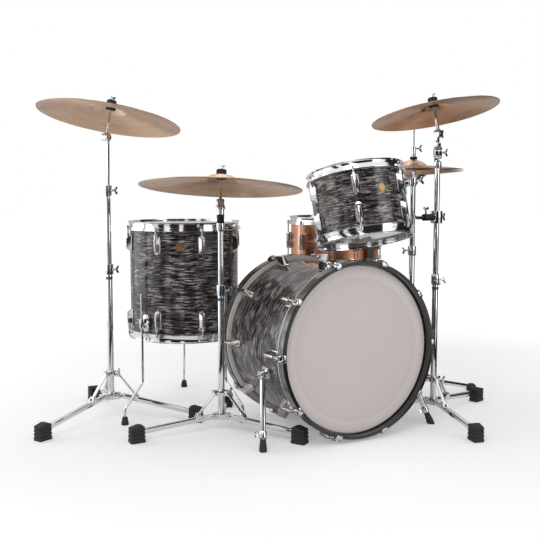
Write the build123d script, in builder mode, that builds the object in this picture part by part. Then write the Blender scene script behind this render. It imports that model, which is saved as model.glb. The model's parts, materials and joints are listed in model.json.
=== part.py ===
"""Acoustic drum kit: bass drum, floor tom, rack tom and snare with three cymbal stands and a hi-hat.

Millimetres, +Z up, floor at Z = 0. X runs to the right and Y away from someone facing the front
of the kit. Every drum and every stand is built about its own axis and then set in its place.
"""

import os
from math import atan2, cos, radians, sin, sqrt, tan

from build123d import *

os.makedirs("parts", exist_ok=True)

INCH = 25.4

# Fits and clearances
SLIDE_GAP = 0.08  # radial room of a tube or pin that slides or turns in its bore
SEAT_GAP = 0.2  # room between a fitting and the round piece that carries it
TURN_GAP = 0.4  # room between faces that turn past each other

# Places of the drums and stands on the floor
BASS_REAR = (66.06, 18.94)  # middle of the rear hoop
BASS_YAW = 28.1  # turn of the front to the right
BASS_LIFT = 9  # how far the spurs hold the front hoop off the floor
FLOOR_TOM_AT = (-345.24, 58.36)
LEFT_STAND_AT = (-597.24, -123.64)
CENTRE_STAND_FROM = (-473, 138)  # from the middle of the bass drum's front hoop
RIGHT_STAND_AT = (582.76, -85.64)
SNARE_AT = (244.76, 309.36)
HIHAT_AT = (536.76, 152.36)
RACK_TOM_AT = (314.76, -180.64)  # middle of the lower rim

# Drum sizes
BASS_DIA = 22 * INCH
BASS_DEPTH = 16 * INCH
BASS_LUGS = 10
FLOOR_TOM_DIA = 16 * INCH
FLOOR_TOM_DEPTH = 16 * INCH
FLOOR_TOM_LUGS = 8
FLOOR_TOM_RIM_Z = 283  # lower rim above the floor
FLOOR_TOM_LUG_START = 23
RACK_TOM_DIA = 13 * INCH
RACK_TOM_DEPTH = 9 * INCH
RACK_TOM_LUGS = 6
RACK_TOM_LUG_START = 30  # first lug from the holder's plate
RACK_TOM_RIM_Z = 652
RACK_TOM_LEAN = 14.4  # lean of the axis from upright
RACK_TOM_LEAN_TO = 122.3  # compass angle of that lean, from +X
SNARE_DIA = 14 * INCH
SNARE_DEPTH = 6.5 * INCH
SNARE_LUGS = 10
SNARE_LUG_START = 5.6
SNARE_RIM_Z = 533

# Shells and heads
SHELL_WALL = 7
SHELL_BEVEL = 4  # inner bevel that makes the bearing edge
METAL_WALL = 1.6
SNARE_BEAD_R = 4
SNARE_BEAD_OUT = 2.8
FILM = 0.5
FLESH_RING_W = 5
FLESH_RING_H = 9
FLESH_DROP = 8  # how far the ring hangs below the bearing edge

# Metal hoops with three flanges
HOOP_STEEL = 2.3
HOOP_RISE = 14  # rim above the bearing edge
HOOP_LIP = 5
HOOP_FLANGE = 4.5
EAR_R = 6.5

# Tension rods
ROD_R = 2.8
ROD_HOLE_GAP = 0.4
ROD_HEAD_R = 5
ROD_HEAD_H = 8
ROD_KEY = 6.2
ROD_KEY_H = 6

# Lugs
LUG_LEN = 62
LUG_W = 20
LUG_OVER = 6.5  # lug body above the rod axis
LUG_TOP_LEN = 38
LUG_TOP_W = 9
LUG_PAD_LEN = 72
LUG_PAD_W = 27
LUG_PAD_H = 3
LUG_BOSS_R = 6
LUG_BOSS_OUT = 6  # boss past the end of the lug's body
TOM_LUG_FROM_EDGE = 66  # lug middle from the bearing edge
SNARE_LUG_LEN = 66
SNARE_LUG_W = 16

# Bass drum hoops, claws and lugs
BASS_HOOP_W = 38
BASS_HOOP_WALL = 12
BASS_HOOP_OVER = 29  # hoop past the bearing edge
BASS_HOOP_CHAMFER = 2
BASS_RING_IN = 3  # flesh ring inside the rim of the hoop
BASS_RING_H = 8
BASS_LUG_FROM_EDGE = 58
CLAW_W = 24
CLAW_T = 3
CLAW_LIP = 9
CLAW_LEN = 27
CLAW_EAR = 13
CLAW_CORNER = 6  # chamfer of the ear's outer corners
CLAW_EAR_T = 6
BASS_HOOP_STEP = 5.6  # inner face of the hoop outside the shell

# Bass drum spurs
SPUR_ANGLE = 104.6  # bracket from the top of the shell
SPUR_BACK = 157  # bracket behind the front of the hoop
SPUR_PAD_R = 24
SPUR_PAD_H = 8
SPUR_PIVOT_R = 15
SPUR_PIVOT_H = 22
SPUR_PIN_R = 5
SPUR_TUBE_R = 9.5
SPUR_TUBE_WALL = 1.5
SPUR_FOOT_SIDE = 340  # foot from the drum's middle plane
SPUR_FOOT_BACK = 56
SPUR_COLLAR_R = 12
SPUR_COLLAR_H = 22
SPUR_TIP_H = 42
SPUR_TIP_R = 12.5
SPUR_TIP_TOP_R = 9
SPUR_ROD_R = 6
SPUR_WING_SPAN = 21

# Floor tom legs
LEG_R = 4.8
LEG_ANGLES = (-127, -44, 97)
LEG_NAMES = ("left", "right", "rear")
LEG_OUT = 24  # leg axis outside the shell
LEG_TOP_Z = 462
LEG_KNEE_Z = 138
LEG_ANKLE_Z = 56
LEG_FOOT_R = 318  # foot from the tom's axis
LEG_BEND_R = 30
LEG_SHOE_H = 28
LEG_SHOE_R = 13
LEG_SHOE_TOP_R = 9
LEG_BRACKET_H = 62
LEG_BRACKET_W = 34
LEG_BRACKET_Z = 352
LEG_PLATE_T = 4
LEG_EYE_R = 10
LEG_EYE_H = 34

# Cymbal stands, shared
LEG_RADIUS = 312
TUBE_R = 11.1
TUBE_WALL = 1.3
MIDDLE_TUBE_WALL = 1.2
TOP_ROD_R = 5.2
HUB_R = 17
HUB_H = 24
HUB_EAR = 32
EAR_T = 3
STAND_LEG_W = 12
STAND_LEG_H = 17
STAND_LEG_BEND = 50
LEG_FLAT = 46  # flat start of a leg at the hub
FOOT_LEN = 50
FOOT_W = 36
FOOT_H = 58
FOOT_LEG_Z = 33
FOOT_RIBS = 4
FOOT_RIB = 2
FOOT_SLANT = 8
COLLAR_R = 17
COLLAR_H = 18
COLLAR_RISE = 82  # collar above the hub
BRACE_T = 4
BRACE_FOOT = 88  # brace's lower pin from the stand's axis
BRACE_PIN_UP = 8  # pin above the top of the leg
PIN_R = 2.5
RIVET_HEAD = 1.5  # rivet past the ear
PIN_EYE_R = 5.5  # eye at each end of a brace
CLIP_LEN = 34
CLAMP_R = 15.5
CLAMP_H = 36
CLAMP_EAR = 24
CLAMP_EAR_W = 18
CLAMP_SLIT = 2
CLAMP_TURN = -75  # compass angle of the clamp ears
BAND_H = 10
BAND_T = 0.8

# Wing screws and wing nuts
WING_SPAN = 30
WING_T = 4
WING_TIP = 10  # tip of a wing past the end of the shank
WING_TIP_SPREAD = 0.7  # spread of the tips as a share of the span
WING_SHANK_R = 3.4
WING_REACH = 16
WING_NUT_H = 6

# Stand heights: hub, tube clamps and tilter pivots
LEFT_HUB_Z = 88
LEFT_LEGS = -6
LEFT_CLAMP_Z = 551
LEFT_TOP_CLAMP_Z = 832
LEFT_PIVOT_Z = 1020
CENTRE_HUB_Z = 50
CENTRE_LEGS = -31.1
CENTRE_CLAMP_Z = 491
CENTRE_PIVOT_Z = 795
RIGHT_HUB_Z = 58
RIGHT_LEGS = -74
RIGHT_CLAMP_Z = 510
RIGHT_TOP_Z = 912
BOOM_PIVOT_Z = 967
RIGHT_PIVOT_Z = 1034
TUBE_LAP = 130  # length of an inner tube inside the outer one

# Tilters
RATCHET_R = 15
RATCHET_T = 9
BOOM_R = 22
BOOM_T = 12
HINGE_PIN_R = 3
TILTER_ROD_R = 4
SLEEVE_R = 5
FELT_R = 17.5
FELT_H = 16
LOWER_FELT_H = 12
CUP_H = 6
LEFT_POST = 117  # pivot to the cymbal's bell along the post
RIGHT_POST = 116
CENTRE_POST = 94
LEFT_LEAN = 11.9
LEFT_LEAN_TO = 49.6
CENTRE_LEAN = 7.3
CENTRE_LEAN_TO = 74.6
RIGHT_LEAN = -12.1
RIGHT_LEAN_TO = -43
FORK_R = 13
FORK_UP = 9  # cheeks above the pivot
TONGUE_W = 9
TONGUE_R = 8
CENTRE_NUT_R = 14.5
CENTRE_NUT_H = 28
CENTRE_LOCK_R = 13
CENTRE_LOCK_H = 48
CENTRE_FLANGE_R = 18
CENTRE_FLANGE_H = 17
TOP_COLLAR_R = 14
TOP_COLLAR_H = 29

# Cymbals: diameter, whole height, bell radius, bell height
LEFT_CYMBAL = (20 * INCH, 52, 60, 22)
CENTRE_CYMBAL = (22 * INCH, 48, 66, 22)
RIGHT_CYMBAL = (18 * INCH, 45, 56, 20)
HIHAT_CYMBAL = (15 * INCH, 36, 52, 22)
CYMBAL_T = 1.6
CYMBAL_HOLE_R = 6
BOW_SWELL = 0.6  # height of the bow half way out, as a share of its fall

# Rack tom holder
TOM_CLAMP_Z = 736
TOM_CLAMP_R = 21
TOM_CLAMP_H = 44
TOM_CLAMP_ARM = 70
TOM_SOCKET_R = 12
TOM_SOCKET_LAP = 30  # length of the arm inside the socket
TOM_ARM_R = 6
TOM_ARM_BEND = 26
TOM_ARM_TOP = 897
TOM_ARM_OUT = 30  # upright rod outside the shell
TOM_ARM_TURN = -9  # compass angle of the holder's plate on the tom
TOM_EYE_H = 30
TOM_EYE_R = 13
TOM_EYE_ROOM = 3.5  # room between the eye and the boss, which lean apart
TOM_PLATE_W = 52
TOM_PLATE_H = 78
TOM_PLATE_T = 4
TOM_BOSS_R = 14
TOM_PIN_R = 5
RACK_TOM_PIVOT_UP = 185  # pivot above the lower rim, along the axis of the tom

# Snare stand
SNARE_STAND_LEGS = -25
SNARE_LEG_RADIUS = 200
SNARE_HUB_Z = 62
SNARE_CLAMP_Z = 330
SNARE_PIVOT_Z = 446
BASKET_ARM_W = 16
BASKET_ARM_T = 6
BASKET_HUB_R = 24
BASKET_HUB_H = 18
BASKET_KNEE = 70  # bend of an arm from the axis
BASKET_TURN = 35
BASKET_FORK_H = 12
BASKET_ROOM = 2.6  # room above the fork for the basket's tilt
BASKET_PAD_BASE = 8
BASKET_PAD_UP = 10  # pad above the rim
BASKET_PAD_W = 22
BASKET_PAD_T = 9

# Hi-hat stand
HIHAT_LEGS = (29.5, 178)
HIHAT_PEDAL_TO = 104
HIHAT_LEG_RADIUS = 326
HIHAT_HUB_Z = 112
HIHAT_KNEE = (130, 62)  # bend of a leg: from the axis, above the floor
HIHAT_LEG_END_Z = 15
HIHAT_CLAMP_Z = 596
HIHAT_EDGE_Z = 905  # edge of the lower hi-hat cymbal
HIHAT_ROD_R = 3
HIHAT_ROD_TOP = 1068
HIHAT_EDGE_GAP = 5
CLUTCH_R = 8
CLUTCH_H = 39
CLUTCH_FELT_R = 14
CLUTCH_FELT_H = 11
CLUTCH_NUT_H = 6
PEDAL_LEN = 285  # stand's axis to the heel pin
PEDAL_TOE = -14  # toe of the footboard from the stand's axis
PEDAL_W = 78
PEDAL_T = 6
PEDAL_RISE = 9  # slope of the footboard
HEEL_Z = 22
HEEL_LEN = 60
HEEL_EAR_Y = 34
HEEL_EAR_W = 8
PEDAL_RIBS = 9
PEDAL_RIB_W = 3
HIHAT_CLAMP_TURN = 100
FRAME_W = 112
FRAME_T = 10
FRAME_POST_R = 5
FRAME_BRIDGE_Z = 84
FRAME_BRIDGE_LEN = 32
FRAME_STRAP_W = 36
FRAME_STRAP_T = 4
HIHAT_FOOT_R = 20
HIHAT_FOOT_H = 28

# Snare strainer and wires
STRAINER_W = 26
STRAINER_H = 62
STRAINER_T = 16
STRAINER_TURN = 131.6  # strainer's place on the shell; the butt faces it
BUTT_H = 34
THROW_LEN = 52
THROW_W = 9
THROW_T = 4
GATE_W = 44  # notch in the lower hoop for the strap
STRAP_T = 0.6
WIRE_COUNT = 20
WIRE_PITCH = 2
WIRE_T = 0.9
WIRE_PLATE = 16
WIRE_SPAN = 290
WIRE_DROP = 0.3  # wires below the lower head

# Sizes that follow from the ones above
MIDDLE_R = TUBE_R - TUBE_WALL - SLIDE_GAP
HOOP_IN = SEAT_GAP + FLESH_RING_W + SEAT_GAP  # hoop wall outside the shell
TOM_ROD_OUT = HOOP_IN + HOOP_STEEL + ROD_HEAD_R + ROD_HOLE_GAP  # rod axis outside the shell
FLANGE_Z = -FLESH_DROP - FLESH_RING_H  # hoop's ears from the bearing edge


# Helpers
def group(*pieces):
    """Several solids kept apart in one node."""
    return Compound([solid for piece in pieces for solid in piece.solids()])


def seated(piece, plane):
    """A piece moved from the origin into the frame of its drum or stand."""
    return piece.moved(plane.location)


def ring_of(piece, count, start=0.0):
    """Copies of a piece, evenly turned about Z."""
    return group(*[piece.moved(turn) for turn in PolarLocations(0, count, start)])


def both_ends(piece, depth):
    """A drum fitting at the upper end, and its mirror image at the lower end."""
    return group(piece, piece.mirror(Plane.XY.offset(depth / 2)))


def upright(place, height=0.0, turn=0.0):
    """Level plane above a place on the floor, turned about Z."""
    return Plane((*place, height), x_dir=(cos(radians(turn)), sin(radians(turn)), 0), z_dir=(0, 0, 1))


def along(origin, axis, up=(0, 0, 1)):
    """Plane whose X axis runs along a direction."""
    side = Vector(*up).cross(Vector(*axis))
    return Plane(origin, x_dir=axis, z_dir=Vector(*axis).cross(side))


def write(piece, name):
    """Label a finished piece and write it."""
    piece.label = name
    export_step(piece, f"parts/{name}.step")


# Simple turned and drawn forms
def rod(radius, low, high):
    """Round bar about Z."""
    with BuildPart() as bar:
        with BuildSketch(Plane.XY.offset(low)):
            Circle(radius)
        extrude(amount=high - low)
    return bar.part


def tube(radius, bore, low, high):
    """Round tube about Z."""
    with BuildPart() as pipe:
        with BuildSketch(Plane.XY.offset(low)):
            Circle(radius)
            Circle(bore, mode=Mode.SUBTRACT)
        extrude(amount=high - low)
    return pipe.part


def turned(*outline):
    """Solid turned about Z from an outline of radius and height."""
    with BuildPart() as blank:
        with BuildSketch(Plane.XZ):
            with BuildLine():
                Polyline(*outline, close=True)
            make_face()
        revolve(axis=Axis.Z)
    return blank.part


def cross_disc(radius, near, far):
    """Disc about Y, between two distances along it."""
    with BuildPart() as disc:
        with BuildSketch(Plane.XZ.offset(-far)):
            Circle(radius)
        extrude(amount=far - near)
    return disc.part


def wing_screw(reach=WING_REACH, span=WING_SPAN):
    """Wing screw along +X, its shank starting at the origin."""
    half = span / 2
    with BuildPart() as screw:
        with BuildSketch(Plane.YZ):
            Circle(WING_SHANK_R)
        extrude(amount=reach)
        with BuildSketch(Plane.XZ):
            with BuildLine():
                Polyline(
                    (reach - WING_T, -WING_SHANK_R),
                    (reach + WING_T, -half),
                    (reach + WING_TIP, -half * WING_TIP_SPREAD),
                    (reach + WING_T, 0),
                    (reach + WING_TIP, half * WING_TIP_SPREAD),
                    (reach + WING_T, half),
                    (reach - WING_T, WING_SHANK_R),
                    close=True,
                )
            make_face()
        extrude(amount=WING_T / 2, both=True)
    return screw.part


# Drum pieces, with the bearing edge of the upper end at Z = depth
def wooden_shell(radius, depth):
    """Ply shell whose inner edges are bevelled to a bearing edge."""
    with BuildPart() as shell:
        with BuildSketch():
            Circle(radius)
            Circle(radius - SHELL_WALL, mode=Mode.SUBTRACT)
        extrude(amount=depth)
        inner_edges = shell.edges().filter_by(GeomType.CIRCLE).sort_by(SortBy.RADIUS)[:2]
        chamfer(inner_edges, SHELL_BEVEL)
    return shell.part


def beaded_shell(radius, depth):
    """Spun metal shell with a raised bead round its middle."""
    middle = depth / 2
    bead = SNARE_BEAD_R
    crest = radius + SNARE_BEAD_OUT
    return turned(
        (radius, 0),
        (radius, middle - bead),
        (crest, middle - bead / 2),
        (crest, middle + bead / 2),
        (radius, middle + bead),
        (radius, depth),
        (radius - METAL_WALL, depth),
        (radius - METAL_WALL, middle + bead),
        (crest - METAL_WALL, middle + bead / 2),
        (crest - METAL_WALL, middle - bead / 2),
        (radius - METAL_WALL, middle - bead),
        (radius - METAL_WALL, 0),
    )


def drum_head(radius, depth, ring_w, ring_h, drop):
    """Film over the upper bearing edge, with its collar and flesh hoop."""
    inside = radius + SEAT_GAP
    return turned(
        (0, depth),
        (0, depth + FILM),
        (inside + FILM, depth + FILM),
        (inside + FILM, depth - drop),
        (inside + ring_w, depth - drop),
        (inside + ring_w, depth - drop - ring_h),
        (inside, depth - drop - ring_h),
        (inside, depth),
    )


def flanged_hoop(radius, depth, count, start):
    """Rolled steel hoop with a shoulder, a flared lip and an ear for each rod."""
    wall = radius + HOOP_IN
    rim = radius + SEAT_GAP + FILM + SEAT_GAP
    flange = depth + FLANGE_Z
    shoulder = depth - FLESH_DROP + SEAT_GAP
    top = depth + HOOP_RISE
    rods = radius + TOM_ROD_OUT
    with BuildPart() as hoop:
        with BuildSketch(Plane.XZ):
            with BuildLine():
                Polyline(
                    (wall, flange),
                    (wall + HOOP_STEEL, flange),
                    (wall + HOOP_STEEL, shoulder + HOOP_STEEL),
                    (rim + HOOP_STEEL, shoulder + HOOP_STEEL),
                    (rim + HOOP_STEEL, top - HOOP_LIP),
                    (rim + HOOP_STEEL + HOOP_LIP, top - HOOP_STEEL / 2),
                    (rim + HOOP_STEEL + HOOP_LIP, top),
                    (rim, top),
                    (rim, shoulder),
                    (wall, shoulder),
                    close=True,
                )
            make_face()
        revolve(axis=Axis.Z)
        with BuildSketch(Plane.XY.offset(flange)):
            Circle(wall + HOOP_STEEL + HOOP_FLANGE)
            with PolarLocations(rods, count, start):
                Circle(EAR_R)
            Circle(wall, mode=Mode.SUBTRACT)
            with PolarLocations(rods, count, start):
                Circle(ROD_R + ROD_HOLE_GAP, mode=Mode.SUBTRACT)
        extrude(amount=HOOP_STEEL)
    return hoop.part


def tension_rod(out, seat, mouth):
    """Rod on the +X side: the head rests at Z = seat, the shank ends at Z = mouth."""
    way = 1 if seat > mouth else -1
    with BuildPart() as bolt:
        with BuildSketch(Plane.XY.offset(mouth)):
            with Locations((out, 0)):
                Circle(ROD_R)
        extrude(amount=seat - mouth)
        with BuildSketch(Plane.XY.offset(seat)):
            with Locations((out, 0)):
                Circle(ROD_HEAD_R)
        extrude(amount=way * ROD_HEAD_H)
        with BuildSketch(Plane.XY.offset(seat + way * ROD_HEAD_H)):
            with Locations((out, 0)):
                Rectangle(ROD_KEY, ROD_KEY)
        extrude(amount=way * ROD_KEY_H)
    return bolt.part


def lug(shell_r, rod_out, middle):
    """Lug on the +X side with a chamfered pad, a tapered body and a mouth towards +Z."""
    with BuildPart() as casting:
        with BuildSketch(Plane.YZ.offset(shell_r - LUG_PAD_H)):
            with Locations((0, middle)):
                Rectangle(LUG_PAD_W, LUG_PAD_LEN)
            chamfer(vertices(), LUG_PAD_W / 3)
        extrude(amount=2 * LUG_PAD_H)
        with BuildSketch(Plane.YZ.offset(shell_r)):
            with Locations((0, middle)):
                Rectangle(LUG_W, LUG_LEN)
        with BuildSketch(Plane.YZ.offset(shell_r + rod_out + LUG_OVER)):
            with Locations((0, middle)):
                Rectangle(LUG_TOP_W, LUG_TOP_LEN)
        loft()
        with BuildSketch(Plane.XY.offset(middle + LUG_TOP_LEN / 4)):
            with Locations((shell_r + rod_out, 0)):
                Circle(LUG_BOSS_R)
        extrude(amount=LUG_LEN / 2 - LUG_TOP_LEN / 4 + LUG_BOSS_OUT)
        with BuildSketch(Plane.XY.offset(middle - LUG_PAD_LEN)):
            Circle(shell_r + SEAT_GAP)
        extrude(amount=2 * LUG_PAD_LEN, mode=Mode.SUBTRACT)
    return casting.part


def centre_lug(shell_r, rod_out, middle):
    """Double-ended lug that bridges the bead in the middle of a metal shell."""
    bead_room = SNARE_BEAD_R + SEAT_GAP
    with BuildPart() as casting:
        with BuildSketch(Plane.YZ.offset(shell_r - LUG_PAD_H)):
            with Locations((0, middle)):
                Rectangle(SNARE_LUG_W, SNARE_LUG_LEN)
            chamfer(vertices(), SNARE_LUG_W / 4)
        with BuildSketch(Plane.YZ.offset(shell_r + rod_out + LUG_OVER)):
            with Locations((0, middle)):
                Rectangle(SNARE_LUG_W - LUG_PAD_H, SNARE_LUG_LEN)
            chamfer(vertices(), SNARE_LUG_W / 4)
        loft()
        with BuildSketch(Plane.XY.offset(middle - SNARE_LUG_LEN)):
            Circle(shell_r + SEAT_GAP)
        extrude(amount=2 * SNARE_LUG_LEN, mode=Mode.SUBTRACT)
        with BuildSketch(Plane.XY.offset(middle - bead_room)):
            Circle(shell_r + bead_room)
        extrude(amount=2 * bead_room, mode=Mode.SUBTRACT)
    return casting.part


def tom_fittings(name, radius, depth, count, start, plane):
    """Write the shell, heads, hoops, lugs and rods of a tom."""
    mouth = depth - TOM_LUG_FROM_EDGE + LUG_LEN / 2 + LUG_BOSS_OUT
    ear_top = depth + FLANGE_Z + HOOP_STEEL
    head = drum_head(radius, depth, FLESH_RING_W, FLESH_RING_H, FLESH_DROP)
    one_rod = tension_rod(radius + TOM_ROD_OUT, ear_top, mouth)
    one_lug = lug(radius, TOM_ROD_OUT, depth - TOM_LUG_FROM_EDGE)
    write(seated(wooden_shell(radius, depth), plane), f"{name}_shell")
    write(seated(both_ends(head, depth), plane), f"{name}_heads")
    write(seated(both_ends(flanged_hoop(radius, depth, count, start), depth), plane), f"{name}_hoops")
    write(seated(both_ends(ring_of(one_lug, count, start), depth), plane), f"{name}_lugs")
    write(seated(both_ends(ring_of(one_rod, count, start), depth), plane), f"{name}_tension_rods")


# Bass drum: lies on its rear hoop and two spurs, its front a little raised
bass_r = BASS_DIA / 2
bass_hoop_r = bass_r + BASS_HOOP_STEP + BASS_HOOP_WALL
bass_len = BASS_DEPTH + 2 * BASS_HOOP_OVER
bass_tilt = atan2(BASS_LIFT, bass_len)
bass_heading = radians(BASS_YAW)
bass_axis = Vector(
    sin(bass_heading) * cos(bass_tilt),
    -cos(bass_heading) * cos(bass_tilt),
    sin(bass_tilt),
)
bass_rear = Vector(*BASS_REAR, bass_hoop_r * cos(bass_tilt))
bass_front = bass_rear + bass_axis * bass_len
CENTRE_STAND_AT = (bass_front.X + CENTRE_STAND_FROM[0], bass_front.Y + CENTRE_STAND_FROM[1])
BASS = Plane(
    bass_front - bass_axis * (BASS_DEPTH + BASS_HOOP_OVER),
    x_dir=(cos(bass_heading), sin(bass_heading), 0),
    z_dir=bass_axis,
)
bass_rod_r = bass_hoop_r + SEAT_GAP + CLAW_T + ROD_HEAD_R + ROD_HOLE_GAP
bass_front_z = BASS_DEPTH + BASS_HOOP_OVER
claw_ear_z = bass_front_z - CLAW_LEN
bass_drop = BASS_HOOP_W - BASS_HOOP_OVER


def bass_hoop():
    """Wooden hoop that presses on the flesh hoop, with its corners eased."""
    with BuildPart() as hoop:
        with BuildSketch(Plane.XY.offset(bass_front_z - BASS_HOOP_W)):
            Circle(bass_hoop_r)
            Circle(bass_r + BASS_HOOP_STEP, mode=Mode.SUBTRACT)
        extrude(amount=BASS_HOOP_W)
        outer_edges = hoop.edges().filter_by(GeomType.CIRCLE).sort_by(SortBy.RADIUS)[-2:]
        chamfer(outer_edges, BASS_HOOP_CHAMFER)
    return hoop.part


def bass_claw():
    """Claw hooked over the hoop, with two cheeks beside the channel for the rod's head."""
    seat = bass_hoop_r + SEAT_GAP
    front = bass_front_z + SEAT_GAP
    tip = bass_hoop_r + CLAW_EAR
    with BuildPart() as claw:
        with BuildSketch(Plane.XZ):
            with BuildLine():
                Polyline(
                    (seat, front),
                    (bass_hoop_r - CLAW_LIP, front),
                    (bass_hoop_r - CLAW_LIP, front + CLAW_T),
                    (seat + CLAW_T, front + CLAW_T),
                    (tip, claw_ear_z + 2 * CLAW_EAR_T),
                    (tip, claw_ear_z),
                    (seat, claw_ear_z),
                    close=True,
                )
            make_face()
        extrude(amount=CLAW_W / 2, both=True)
        chamfer(claw.edges().filter_by(Axis.Z).sort_by(Axis.X)[-2:], CLAW_CORNER)
        with BuildSketch(Plane.XY.offset(claw_ear_z + CLAW_EAR_T)):
            with Locations((seat + CLAW_T + CLAW_EAR, 0)):
                Rectangle(2 * CLAW_EAR, 2 * (ROD_HEAD_R + ROD_HOLE_GAP))
        extrude(amount=CLAW_LEN + CLAW_T, mode=Mode.SUBTRACT)
        with BuildSketch(Plane.XY.offset(claw_ear_z)):
            with Locations((bass_rod_r, 0)):
                Circle(ROD_R + ROD_HOLE_GAP)
        extrude(amount=CLAW_EAR_T, mode=Mode.SUBTRACT)
    return claw.part


bass_rod_out = bass_rod_r - bass_r
bass_lug_z = BASS_DEPTH - BASS_LUG_FROM_EDGE
bass_mouth = bass_lug_z + LUG_LEN / 2 + LUG_BOSS_OUT
bass_ring_w = bass_hoop_r - BASS_RING_IN - bass_r - SEAT_GAP
bass_head = drum_head(bass_r, BASS_DEPTH, bass_ring_w, BASS_RING_H, bass_drop)
bass_lug = lug(bass_r, bass_rod_out, bass_lug_z)
bass_rod = tension_rod(bass_rod_r, claw_ear_z + CLAW_EAR_T, bass_mouth)
write(seated(wooden_shell(bass_r, BASS_DEPTH), BASS), "bass_shell")
write(seated(bass_head, BASS), "bass_front_head")
write(seated(bass_head.mirror(Plane.XY.offset(BASS_DEPTH / 2)), BASS), "bass_batter_head")
write(seated(both_ends(bass_hoop(), BASS_DEPTH), BASS), "bass_hoops")
write(seated(both_ends(ring_of(bass_claw(), BASS_LUGS), BASS_DEPTH), BASS), "bass_claws")
write(seated(both_ends(ring_of(bass_lug, BASS_LUGS), BASS_DEPTH), BASS), "bass_lugs")
write(seated(both_ends(ring_of(bass_rod, BASS_LUGS), BASS_DEPTH), BASS), "bass_tension_rods")


# Bass drum spurs: each turns on a pin that stands out from a round pad on the shell
def spur_bracket():
    """Pad on the +X side of the shell with the pin that the spur turns on, and its wing nut."""
    pad_top = bass_r + SPUR_PAD_H
    pin_end = pad_top + TURN_GAP + SPUR_PIVOT_H + TURN_GAP
    with BuildPart() as bracket:
        with BuildSketch(Plane.YZ.offset(bass_r - SPUR_PAD_H)):
            Circle(SPUR_PAD_R)
        extrude(amount=2 * SPUR_PAD_H)
        with BuildSketch(Plane.YZ.offset(pad_top)):
            Circle(SPUR_PIN_R)
        extrude(amount=pin_end - pad_top)
        with BuildSketch(Plane.XY.offset(-SPUR_PAD_R)):
            Circle(bass_r + SEAT_GAP)
        extrude(amount=2 * SPUR_PAD_R, mode=Mode.SUBTRACT)
    nut = wing_screw().moved(Location((pin_end, 0, 0)))
    return group(bracket.part, nut)


spur_z = bass_front_z - SPUR_BACK
right_bracket = spur_bracket().moved(Location((0, 0, spur_z), (0, 0, 90 - SPUR_ANGLE)))
write(seated(group(right_bracket, right_bracket.mirror(Plane.YZ)), BASS), "bass_spur_brackets")


def spur(side):
    """Tube with its eye, height collar, wing screw and rubber tip, standing on the floor."""
    angle = radians(SPUR_ANGLE)
    out = Vector(side * sin(angle), cos(angle), 0)
    reach = bass_r + SPUR_PAD_H + TURN_GAP + SPUR_PIVOT_H / 2
    pivot = BASS.from_local_coords(out * reach + Vector(0, 0, spur_z))
    outward = pivot - BASS.from_local_coords(Vector(0, 0, spur_z))
    level_axis = Vector(bass_axis.X, bass_axis.Y, 0).normalized()
    foot = bass_front + BASS.x_dir * side * SPUR_FOOT_SIDE - level_axis * SPUR_FOOT_BACK
    foot = Vector(foot.X, foot.Y, 0)
    leg = Plane(pivot, x_dir=BASS.x_dir.cross(foot - pivot), z_dir=foot - pivot)
    length = (foot - pivot).length
    eye = Plane(pivot, z_dir=outward)
    tip_top = length - SPUR_TIP_H
    with BuildPart() as arm:
        with BuildSketch(eye.offset(-SPUR_PIVOT_H / 2)):
            Circle(SPUR_PIVOT_R)
        extrude(amount=SPUR_PIVOT_H)
        with BuildSketch(leg):
            Circle(SPUR_TUBE_R)
        extrude(amount=tip_top - SPUR_COLLAR_H / 2)
        with BuildSketch(eye.offset(-SPUR_PIVOT_H)):
            Circle(SPUR_PIN_R + SLIDE_GAP)
        extrude(amount=2 * SPUR_PIVOT_H, mode=Mode.SUBTRACT)
        with BuildSketch(leg.offset(tip_top)):
            Circle(SPUR_TUBE_R - SPUR_TUBE_WALL)
        extrude(amount=-tip_top / 2, mode=Mode.SUBTRACT)
    collar_low = tip_top - SPUR_COLLAR_H
    collar = tube(SPUR_COLLAR_R, SPUR_TUBE_R + SEAT_GAP, collar_low, collar_low + SPUR_COLLAR_H)
    screw = wing_screw(reach=WING_REACH / 2, span=SPUR_WING_SPAN)
    screw = screw.moved(Location((0, -SPUR_COLLAR_R, collar_low + SPUR_COLLAR_H / 2), (0, 0, -90)))
    inner = rod(SPUR_ROD_R, tip_top - tip_top / 3, tip_top)
    cone = turned(
        (0, tip_top),
        (SPUR_TIP_TOP_R, tip_top),
        (SPUR_TIP_R, length - SPUR_TIP_R),
        (SPUR_TIP_R, length + SPUR_TIP_R),
        (0, length + SPUR_TIP_R),
    )
    with BuildPart() as tip:
        add(seated(cone, leg))
        split(bisect_by=Plane.XY, keep=Keep.TOP)
    return group(arm.part, seated(group(collar, screw, inner), leg), tip.part)


write(spur(-1), "spur_left")
write(spur(1), "spur_right")


# Floor tom: stands on three bent legs held in brackets
floor_tom_r = FLOOR_TOM_DIA / 2
FLOOR_TOM = upright(FLOOR_TOM_AT, FLOOR_TOM_RIM_Z + HOOP_RISE)
tom_fittings("floor_tom", floor_tom_r, FLOOR_TOM_DEPTH, FLOOR_TOM_LUGS, FLOOR_TOM_LUG_START, FLOOR_TOM)
leg_axis_r = floor_tom_r + LEG_OUT


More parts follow.
